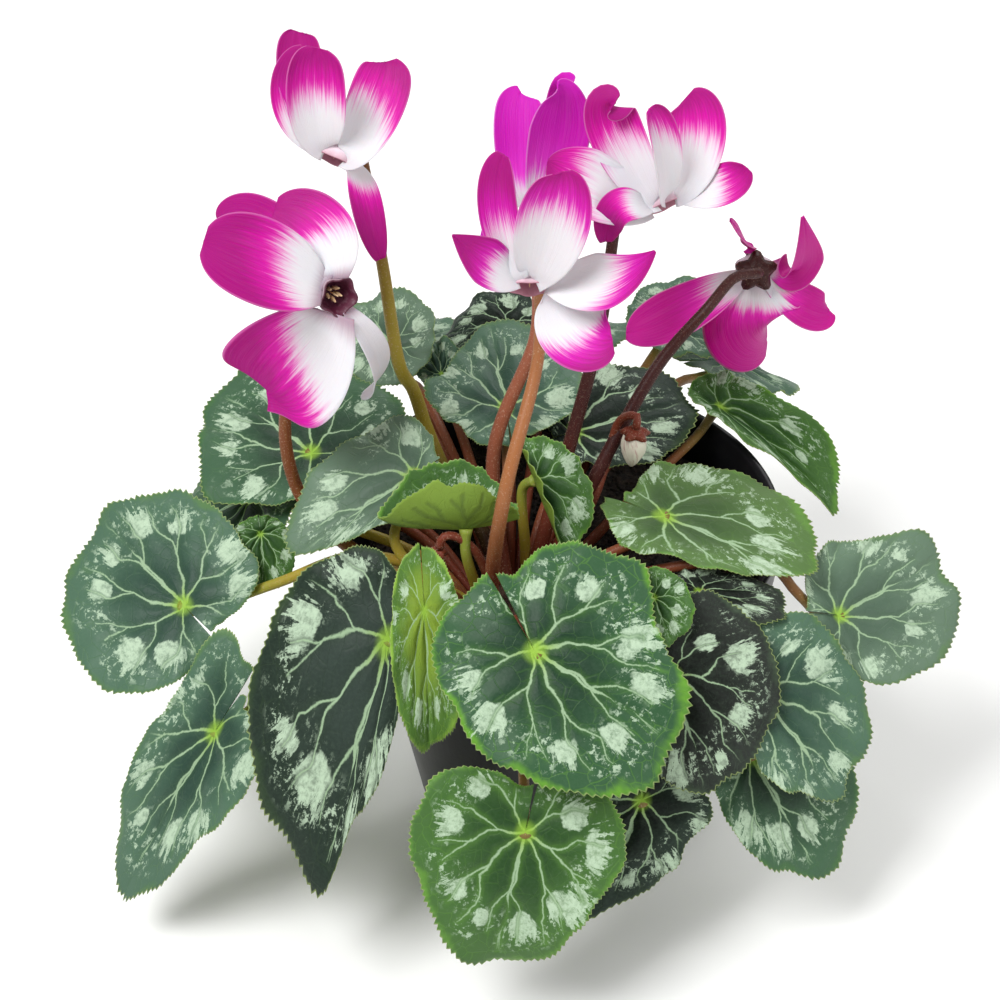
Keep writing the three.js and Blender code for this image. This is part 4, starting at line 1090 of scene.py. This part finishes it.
wine_tube = tube_finish("wine_tube", (0.075, 0.004, 0.024))
pale_tube = tube_finish("pale_tube", (0.42, 0.16, 0.22))
for name, bloom in BLOOMS.items():
    points, faces = turned(TUBE_OUTLINE, 40)
    depth = np.clip((points[:, 2] + THROAT_DEPTH) / THROAT_DEPTH, 0, 1)
    angle = np.arctan2(points[:, 1], points[:, 0])
    swell = 1 + 0.10 * depth ** 2 * np.cos(5 * angle)
    points[:, :2] *= swell[:, None]
    ring = np.arange(len(points) - 2) // 40
    inner = np.concatenate([[0], np.where(ring >= 5, 1.0, np.where(ring == 4, 0.55, 0.0)), [1]])
    tube = make_piece(f"tube_{name}", aimed(points, direction(*bloom["opens"]), bloom["throat"]),
                      faces, values={"inside": inner})
    finish = wine_tube if name in ("left", "right") else pale_tube
    dress(tube, finish, f"bloom_{name}")
print("tubes:", len(BLOOMS))

# %% Stamens
stamen_skin = Finish("stamens")
pollen = stamen_skin.noise(stamen_skin.place(), 1500, 2, 0.5)
stamen_colour = stamen_skin.mix(pollen, (0.75, 0.45, 0.22), (0.85, 0.66, 0.42))
stamen_material = stamen_skin.surface(Base_Color=stamen_colour, Roughness=0.6 + 0.2 * pollen)
SPIKE = [(0, 0), (0.62, 0), (0.66, 1.8), (0.3, 3.6), (0, 4.0)]
for name, bloom in BLOOMS.items():
    parts = []
    for k in range(6):
        points, faces = turned(SPIKE, 8)
        if k:
            angle = 2 * math.pi * k / 5
            lean = (0.24 * math.cos(angle), 0.24 * math.sin(angle), 1)
            points = aimed(points, lean, (1.5 * math.cos(angle), 1.5 * math.sin(angle), -6.2))
        else:
            points = points * [0.5, 0.5, 1.5] + [0, 0, -6.2]
        parts.append((points, faces))
    points, faces = merged(parts)
    points = aimed(points, direction(*bloom["opens"]), bloom["throat"])
    stamens = make_piece(f"stamens_{name}", points, faces)
    dress(stamens, stamen_material, f"bloom_{name}")
print("stamens:", 6 * len(BLOOMS))

# %% [markdown]
# ## Stalks
#
# Flower stalks rise in one long bend and hook over at the top; petioles leave the tuber low and
# lie over the pot's rim. Each is a tube along a smooth curve through a few points, the same
# points as in the solids.

# %% A smooth curve through points
STALK_SIDES, STALK_STEPS = 14, 46


def smooth_way(points, steps):
    points = [np.array(p, dtype=float) for p in points]
    ends = [2 * points[0] - points[1], *points, 2 * points[-1] - points[-2]]
    found = []
    for i in range(len(points) - 1):
        p0, p1, p2, p3 = ends[i:i + 4]
        gaps = [max(np.linalg.norm(b - a) ** 0.5, 1e-4) for a, b in ((p0, p1), (p1, p2), (p2, p3))]
        t1 = (p1 - p0) / gaps[0] - (p2 - p0) / (gaps[0] + gaps[1]) + (p2 - p1) / gaps[1]
        t2 = (p2 - p1) / gaps[1] - (p3 - p1) / (gaps[1] + gaps[2]) + (p3 - p2) / gaps[2]
        t1, t2 = t1 * gaps[1], t2 * gaps[1]
        for t in np.linspace(0, 1, 30, endpoint=False):
            found.append(p1 + t1 * t + (-3 * p1 + 3 * p2 - 2 * t1 - t2) * t * t
                         + (2 * p1 - 2 * p2 + t1 + t2) * t ** 3)
    found.append(points[-1])
    found = np.array(found)
    gone = np.concatenate([[0], np.cumsum(np.linalg.norm(np.diff(found, axis=0), axis=1))])
    even = np.linspace(0, gone[-1], steps + 1)
    return np.stack([np.interp(even, gone, found[:, k]) for k in range(3)], -1), gone[-1]


def build_stalk(points, start, end, steps=STALK_STEPS, flare=0.0):
    way, length = smooth_way(points, steps)
    along = unit(np.gradient(way, axis=0))
    side = unit(np.cross(along[0], [0.3, 0.9, 0.2]))
    rings, chart = [], []
    angles = np.linspace(0, 2 * math.pi, STALK_SIDES, endpoint=False)
    for i in range(steps + 1):
        side = unit(side - side.dot(along[i]) * along[i])
        other = np.cross(along[i], side)
        share = i / steps
        radius = start + (end - start) * share + flare * max(0, share - 0.93) / 0.07
        rings.append(way[i] + radius * (np.cos(angles)[:, None] * side + np.sin(angles)[:, None] * other))
        chart.extend([(angle / (2 * math.pi), share) for angle in angles])
    points = np.concatenate([*rings, [way[0]], [way[-1]]])
    chart = np.array(chart + [(0, 0), (0, 1)])
    faces = []
    for j in range(STALK_SIDES):
        n = (j + 1) % STALK_SIDES
        for i in range(steps):
            a = i * STALK_SIDES
            faces.append((a + j, a + n, a + STALK_SIDES + n, a + STALK_SIDES + j))
        faces.append((n, j, len(points) - 2))
        last = steps * STALK_SIDES
        faces.append((last + j, last + n, len(points) - 1))
    return points, faces, chart


# %% Where stalks start and which way they take
TUBER_X, TUBER_Y, TUBER_RADIUS, TUBER_HEIGHT = -17, -30, 19, 15
BUDS = {
    "right": dict(base=[24, -4, 163], tip=[23, -5, 149], radius=4.6),
    "young": dict(base=[-41, -45, 146], tip=[-44, -45, 134], radius=3),
}
FLOWER_WAYS = {
    "left": [[-40, -34, 119], [-62, -28, 125], [-80, -14, 130], [-88, -8, 138], [-92, -8, 160],
        [-90, -8, 185], [-85, -8, 210]],
    "upper_left": [[-26, -8, 120], [-40, 9, 136], [-46, 14, 150], [-50, 12, 168], [-54, 2, 186],
        [-59, 12, 220], [-64, 22, 248], [-67, 22, 268]],
    "centre": [[-24, -38, 120], [-19, -48, 176], [-9, -25, 210], [-9, -18, 232]],
    "lilac_behind": [[-23, 2, 150], [-9, 18, 187], [-9, 32, 203], [-11, 46, 219], [-11, 46, 232]],
    "upper_right": [[12, 14, 192], [15, 24, 212], [18, 32, 228], [23, 33, 240]],
    "right": [[26, 10, 168], [35, 18, 179], [48, 24, 193], [58, 34, 199]],
}
BUD_WAYS = {
    "right": [[10, -8, 135], [15, 0, 147], [19, 3, 162]],
    "young": [[-25, -40, 130], [-31, -43, 147], [-37, -44, 152]],
}


def stalk_root(place, spread):
    away = np.array([place[0] - TUBER_X, place[1] - TUBER_Y, 0.0])
    reach = min(spread, np.linalg.norm(away))
    return np.array([TUBER_X, TUBER_Y, SOIL_TOP - 3.0]) + unit(away) * reach


def straight_end(calyx, axis):
    return [calyx - 5 * axis, calyx - 0.4 * axis]


def petiole_way(leaf):
    place = np.array(leaf["at"], dtype=float)
    end = place - leaf["out"] * 0.2
    root = stalk_root(place, 12)
    under = end - leaf["out"] * leaf["stem"]
    if leaf["way"]:
        return [root, *leaf["way"], under, end]
    share = None
    for part in np.arange(0, 1, 0.02):
        spot = root + (under - root) * part
        if math.hypot(spot[0], spot[1]) > POT_RIM - 2:
            share = part
            break
    heights = [(0.35 * (1 if share is None else share), POT_HEIGHT - 1)]
    if share is not None:
        crossing = POT_HEIGHT + 8
        heights.append((share, crossing))
        heights.append((share + 0.5 * (1 - share), (crossing + under[2]) / 2))
    way = []
    for part, height in heights:
        spot = root + (under - root) * part
        way.append((spot[0], spot[1], height))
    return [root, *way, under, end]


print("ways ready")

# %% [markdown]
# ### Stalk colours
#
# Young stalks are olive or yellow, older ones red-brown, and all are darker and redder towards
# the tuber. Fine pale dots of painted glint, where the tiny glands catch the light, cover them.
# The chart of a stalk runs along it, so the colour can change with the height.


# %% The finish of a stalk
def stalk_finish(name, low, middle, high):
    skin = Finish(f"stalk_{name}")
    chart = skin.chart("stalk")
    _, share, _ = skin.split(chart)
    place = skin.place()
    drift = skin.noise(place, 60, 3, 0.6)
    dots = skin.noise(place, 1500, 1, 0.4)
    lines = skin.noise(skin.vector("MULTIPLY", place, (1, 1, 0.12)), 900, 2, 0.6)
    level = share + (drift - 0.5) * 0.25
    colour = skin.mix(skin.step(level, 0.05, 0.45), low, middle)
    colour = skin.mix(skin.step(level, 0.55, 0.95), colour, high)
    # Painted glints: pale dots where the tiny glands catch the light, weaker on the dark wine stalks.
    glint_strength = 0.1 if high is DARK_WINE else 0.32
    colour = skin.mix(skin.step(dots, 0.62, 0.72) * glint_strength, colour, (0.55, 0.40, 0.28))
    colour = skin.mix(lines * 0.2, colour, low)
    return skin.surface(Base_Color=colour, Roughness=0.36 + 0.2 * lines,
                        Specular_IOR_Level=0.24,
                        Normal=skin.bump(dots * 0.5 + lines * 0.5, 0.0005, 0.4),
                        Subsurface_Weight=0.08, Subsurface_Scale=0.003)


RED_BROWN, ORANGE_BROWN = (0.16, 0.032, 0.016), (0.31, 0.12, 0.04)
OLIVE_YELLOW, DARK_WINE = (0.33, 0.26, 0.03), (0.030, 0.006, 0.006)
FLOWER_TONES = {
    "left": (OLIVE_YELLOW, RED_BROWN, RED_BROWN),
    "upper_left": (DARK_WINE, OLIVE_YELLOW, (0.13, 0.04, 0.012)),
    "centre": (RED_BROWN, ORANGE_BROWN, (0.36, 0.16, 0.07)),
    "lilac_behind": (RED_BROWN, (0.25, 0.08, 0.04), (0.42, 0.17, 0.15)),
    "upper_right": (RED_BROWN, DARK_WINE, DARK_WINE),
    "right": (RED_BROWN, DARK_WINE, DARK_WINE),
}
OLIVE_PETIOLES = {"pointed_silver", "cupped_olive", "left", "low_left", "small_green", "taco_young",
                  "lime_twisted", "olive_tip", "long_dark"}


def calyx_shape(radius, depth):
    points, faces = turned([(0, -depth), (radius * 0.3, -depth), (radius * 0.75, -depth * 0.45),
                            (radius * 1.1, depth * 0.7), (radius * 0.95, depth * 0.7),
                            (radius * 0.6, 0), (0, 0)], 30)
    angle = np.arctan2(points[:, 1], points[:, 0])
    away = np.hypot(points[:, 0], points[:, 1]) / radius
    star = 0.72 + 0.28 * np.cos(5 * angle)
    points[:, :2] *= (1 - away[:, None] * 0.55 * (1 - star[:, None]))
    return points, faces


# %% Build the flower stalks with their calyxes
CALYX_GAP = 1.0
flower_stalks = []
for name, way in FLOWER_WAYS.items():
    bloom = BLOOMS[name]
    axis = direction(*bloom["opens"])
    calyx = np.array(bloom["throat"], dtype=float) - axis * (THROAT_DEPTH + CALYX_GAP)
    points, faces, chart = build_stalk(
        [stalk_root(way[0], 8), *way, *straight_end(calyx, axis)], 2.7, 1.7)
    star, star_faces = calyx_shape(6.8 if name == "right" else 5.6, 1.6)
    both, all_faces = merged([(points, faces), (aimed(star, axis, calyx + axis), star_faces)])
    chart = np.concatenate([chart, np.tile([[0.5, 1.0]], (len(star), 1))])
    stalk = make_piece(f"stalk_{name}", both, all_faces, chart, "stalk")
    finish = stalk_finish(name, *FLOWER_TONES[name])
    dress(stalk, finish, "crown")
    flower_stalks.append(stalk)
print("flower stalks:", len(flower_stalks))

# %% Build the petioles, the olive ones apart from the red-brown ones
for tone_name, olive in (("red", False), ("olive", True)):
    parts, charts = [], []
    for name in LEAVES:
        if (name in OLIVE_PETIOLES) is not olive:
            continue
        points, faces, chart = build_stalk(petiole_way(read_leaf(name)), 1.95, 1.65, 30, 0.7)
        parts.append((points, faces))
        charts.append(chart)
    points, faces = merged(parts)
    petioles = make_piece(f"petioles_{tone_name}", points, faces, np.concatenate(charts), "stalk")
    tones = ((0.20, 0.06, 0.02), OLIVE_YELLOW, (0.22, 0.30, 0.04)) if olive else (
        RED_BROWN, (0.24, 0.07, 0.03), (0.20, 0.16, 0.04))
    dress(petioles, stalk_finish(f"petioles_{tone_name}", *tones), "crown")
    print("petioles", tone_name, len(parts))

# %% Buds
bud_skin = Finish("bud")
bud_chart = bud_skin.chart("bud")
bud_turn, bud_share, _ = bud_skin.split(bud_chart)
lines = bud_skin.noise(bud_skin.join(bud_turn * 22, bud_share * 1.5), 1.0, 3, 0.6)
bud_colour = bud_skin.mix(bud_skin.step(lines, 0.52, 0.66) * 0.6, (0.72, 0.68, 0.56), (0.35, 0.08, 0.10))
bud_material = bud_skin.surface(Base_Color=bud_colour, Roughness=0.45 + 0.1 * lines,
                                Normal=bud_skin.bump(lines, 0.0005, 0.4))
BUD_OUTLINE = [(0, 0), (0.6, 0), (0.88, 0.1), (0.98, 0.25), (1, 0.38), (0.92, 0.52), (0.76, 0.68),
               (0.5, 0.85), (0.2, 0.97), (0, 1)]
for name, bud in BUDS.items():
    base, tip = (np.array(bud[key], dtype=float) for key in ("base", "tip"))
    length = np.linalg.norm(tip - base)
    axis = unit(tip - base)
    points, faces = turned([(r * bud["radius"], h * length) for r, h in BUD_OUTLINE], 40)
    angle = np.arctan2(points[:, 1], points[:, 0])
    share = points[:, 2] / length
    points[:, :2] *= (1 - 0.09 * np.abs(np.sin(2.5 * (angle + 1.2 * share))) ** 0.5)[:, None]
    chart = np.stack([angle / (2 * math.pi) + share * 0.2, share], -1)
    piece = make_piece(f"bud_skin_{name}", aimed(points, axis, base), faces, chart, "bud")
    dress(piece, bud_material, f"bud_{name}")
    calyx = base - axis * CALYX_GAP
    way = BUD_WAYS[name]
    points, faces, chart = build_stalk(
        [stalk_root(way[0], 10), *way, *straight_end(calyx, axis)], 1.7, 1.36, 34)
    star, star_faces = calyx_shape(bud["radius"] * 1.1, 1.4)
    both, all_faces = merged([(points, faces), (aimed(star, axis, calyx + axis), star_faces)])
    chart = np.concatenate([chart, np.tile([[0.5, 1.0]], (len(star), 1))])
    stalk = make_piece(f"bud_stalk_{name}", both, all_faces, chart, "stalk")
    dress(stalk, stalk_finish(f"bud_{name}", RED_BROWN, (0.2, 0.05, 0.025), RED_BROWN), "crown")
    flower_stalks.append(stalk)
print("buds:", len(BUDS))

# %% The tuber
rng = np.random.default_rng(7)
angles = np.linspace(0, math.pi, 22)
tuber_outline = [(math.sin(a) * TUBER_RADIUS, -math.cos(a) * TUBER_HEIGHT / 2) for a in angles]
points, faces = turned(tuber_outline, 60)
angle = np.arctan2(points[:, 1], points[:, 0])
bumps = 0.5 * np.sin(5 * angle + points[:, 2]) + 0.3 * np.sin(11 * angle - 2 * points[:, 2])
points[:, 2] += bumps * (np.hypot(points[:, 0], points[:, 1]) > 1) - 0.3
points += [TUBER_X, TUBER_Y, SOIL_TOP - 3]
tuber = make_piece("tuber", points, faces)
bark = Finish("tuber_bark")
cork = bark.noise(bark.place(), 140, 6, 0.7)
bark_colour = bark.mix(bark.step(cork, 0.35, 0.65), (0.03, 0.012, 0.008), (0.12, 0.06, 0.035))
dress(tuber, bark.surface(Base_Color=bark_colour, Roughness=0.8 + 0.1 * cork,
                          Normal=bark.bump(cork, 0.002, 0.8)), "crown")
print("tuber faces:", len(faces))

# %% [markdown]
# ## Peat
#
# Potting peat is a dark mass of crumbs and fibres. Its surface is one dented sheet, and a few
# thousand crumbs are strewn over it with Geometry Nodes, because no two may lie alike and all
# of them have to lie on the surface.


# %% The peat's body
def peat_top(x, y):
    lumps = (1.1 * np.sin(x / 9 + 1) * np.cos(y / 7)
             + 0.8 * np.sin(x / 4.3) * np.sin(y / 5.1 + 2))
    dish = 5.5 * np.exp(-(((x - TUBER_X) ** 2 + (y - TUBER_Y) ** 2) / 24 ** 2))
    return SOIL_TOP + lumps - dish


PEAT_EDGE = pot_inner(SOIL_TOP) - 0.6
peat_floor = POT_FLOOR + 0.3
peat_outline = [(0, peat_floor), (pot_inner(peat_floor) - 0.3, peat_floor)]
peat_outline += [(PEAT_EDGE * share, SOIL_TOP) for share in np.linspace(1, 0, 40)]
points, faces = turned(peat_outline, 110)
on_top = points[:, 2] > SOIL_TOP - 1
rough = 0.5 * np.sin(points[:, 0] * 1.9 + 3) * np.sin(points[:, 1] * 2.3)
points[on_top, 2] = (peat_top(points[:, 0], points[:, 1]) + rough)[on_top]
peat = make_piece("peat", points, faces)
earth = Finish("peat")
crumb = earth.noise(earth.place(), 330, 6, 0.75)
earth_colour = earth.mix(earth.step(crumb, 0.4, 0.7), (0.010, 0.006, 0.004), (0.055, 0.032, 0.020))
earth_material = earth.surface(Base_Color=earth_colour, Roughness=0.85 + 0.1 * crumb,
                               Normal=earth.bump(crumb, 0.003, 1.0))
dress(peat, earth_material, "soil")
print("peat faces:", len(faces))


# %% A tree that strews a shape over a surface
def strew_tree(name, finish, build_shape, align):
    tree = bpy.data.node_groups.new(name, "GeometryNodeTree")
    tree.interface.new_socket("Geometry", in_out="INPUT", socket_type="NodeSocketGeometry")
    for label, kind in (("Density", "Float"), ("Smallest", "Float"), ("Largest", "Float"),
                        ("Seed", "Int")):
        tree.interface.new_socket(label, in_out="INPUT", socket_type=f"NodeSocket{kind}")
    tree.interface.new_socket("Geometry", in_out="OUTPUT", socket_type="NodeSocketGeometry")
    nodes, links = tree.nodes, tree.links
    start, end = nodes.new("NodeGroupInput"), nodes.new("NodeGroupOutput")
    strewn = nodes.new("GeometryNodeDistributePointsOnFaces")
    links.new(start.outputs["Geometry"], strewn.inputs["Mesh"])
    links.new(start.outputs["Density"], strewn.inputs["Density"])
    links.new(start.outputs["Seed"], strewn.inputs["Seed"])
    size = nodes.new("FunctionNodeRandomValue")
    links.new(start.outputs["Smallest"], size.inputs[2])
    links.new(start.outputs["Largest"], size.inputs[3])
    turn = nodes.new("FunctionNodeRandomValue")
    turn.data_type = "FLOAT_VECTOR"
    turn.inputs[1].default_value = (6.28, 6.28, 6.28)
    copies = nodes.new("GeometryNodeInstanceOnPoints")
    links.new(strewn.outputs["Points"], copies.inputs["Points"])
    links.new(build_shape(nodes, links), copies.inputs["Instance"])
    if align:
        links.new(strewn.outputs["Rotation"], copies.inputs["Rotation"])
    else:
        links.new(turn.outputs[0], copies.inputs["Rotation"])
    links.new(size.outputs[1], copies.inputs["Scale"])
    real = nodes.new("GeometryNodeRealizeInstances")
    links.new(copies.outputs[0], real.inputs[0])
    painted = nodes.new("GeometryNodeSetMaterial")
    painted.inputs["Material"].default_value = finish
    links.new(real.outputs[0], painted.inputs[0])
    links.new(painted.outputs[0], end.inputs[0])
    return tree


def strew(name, ground, tree, **sizes):
    piece = bpy.data.objects.new(name, ground.data.copy())
    bpy.context.collection.objects.link(piece)
    modifier = piece.modifiers.new("strew", "NODES")
    modifier.node_group = tree
    names = {item.name: item.identifier for item in tree.interface.items_tree
             if item.item_type == "SOCKET" and item.in_out == "INPUT"}
    for label, value in sizes.items():
        modifier[names[label]] = value
    bpy.context.view_layer.update()
    return flatten(piece)


# %% Crumbs on the peat
def crumb_shape(nodes, links):
    ball = nodes.new("GeometryNodeMeshIcoSphere")
    ball.inputs["Radius"].default_value = 1.0
    ball.inputs["Subdivisions"].default_value = 1
    squash = nodes.new("GeometryNodeTransform")
    links.new(ball.outputs["Mesh"], squash.inputs["Geometry"])
    squash.inputs["Scale"].default_value = (1.0, 0.75, 0.6)
    return squash.outputs[0]


ground = bpy.data.objects["peat"].copy()
ground.data = ground.data.copy()
top_faces = [face.index for face in ground.data.polygons
             if face.center.z > (SOIL_TOP - 8) * MM and face.normal.z > 0.3]
keep = set(top_faces)
flat_mesh = bpy.data.meshes.new("peat_top")
flat_mesh.from_pydata([v.co[:] for v in peat.data.vertices], [],
                      [list(face.vertices) for face in peat.data.polygons if face.index in keep])
ground.data = flat_mesh
crumbs = strew("peat_crumbs", ground, strew_tree("crumbs", earth_material, crumb_shape, False),
               Density=230000.0, Smallest=0.0004, Largest=0.0016, Seed=3)
dress(crumbs, earth_material, "soil")
print("crumb faces:", len(crumbs.data.polygons))


# %% Tiny glandular hairs on the flower stalks
def hair_shape(nodes, links):
    cone = nodes.new("GeometryNodeMeshCone")
    cone.inputs["Vertices"].default_value = 3
    cone.inputs["Radius Bottom"].default_value = 0.09
    cone.inputs["Radius Top"].default_value = 0.0
    cone.inputs["Depth"].default_value = 1.0
    return cone.outputs["Mesh"]


gland = Finish("gland")
gland_tint = gland.noise(gland.place(), 800, 2, 0.5)
gland_material = gland.surface(
    Base_Color=gland.mix(gland_tint, (0.45, 0.25, 0.18), (0.70, 0.52, 0.40)),
    Roughness=0.5 + 0.1 * gland_tint)
hair_tree = strew_tree("hairs", gland_material, hair_shape, True)
for stalk in flower_stalks:
    hairs = strew(stalk.name.replace("stalk", "hairs"), stalk, hair_tree,
                  Density=700000.0, Smallest=0.00025, Largest=0.0005, Seed=5)
    dress(hairs, gland_material, "crown")
print("stalks with hairs:", len(flower_stalks))

# %% [markdown]
# ## The floor
#
# A pale, slightly soft floor catches the shadow of the pot and leaves.

# %% Floor
floor_mesh = bpy.data.meshes.new("floor")
floor_mesh.from_pydata([(-6, -6, 0), (6, -6, 0), (6, 6, 0), (-6, 6, 0)], [], [(0, 1, 2, 3)])
floor = bpy.data.objects.new("floor", floor_mesh)
bpy.context.collection.objects.link(floor)
paper = Finish("floor")
floor.data.materials.append(paper.surface(Base_Color=(0.93, 0.93, 0.92), Roughness=0.9))
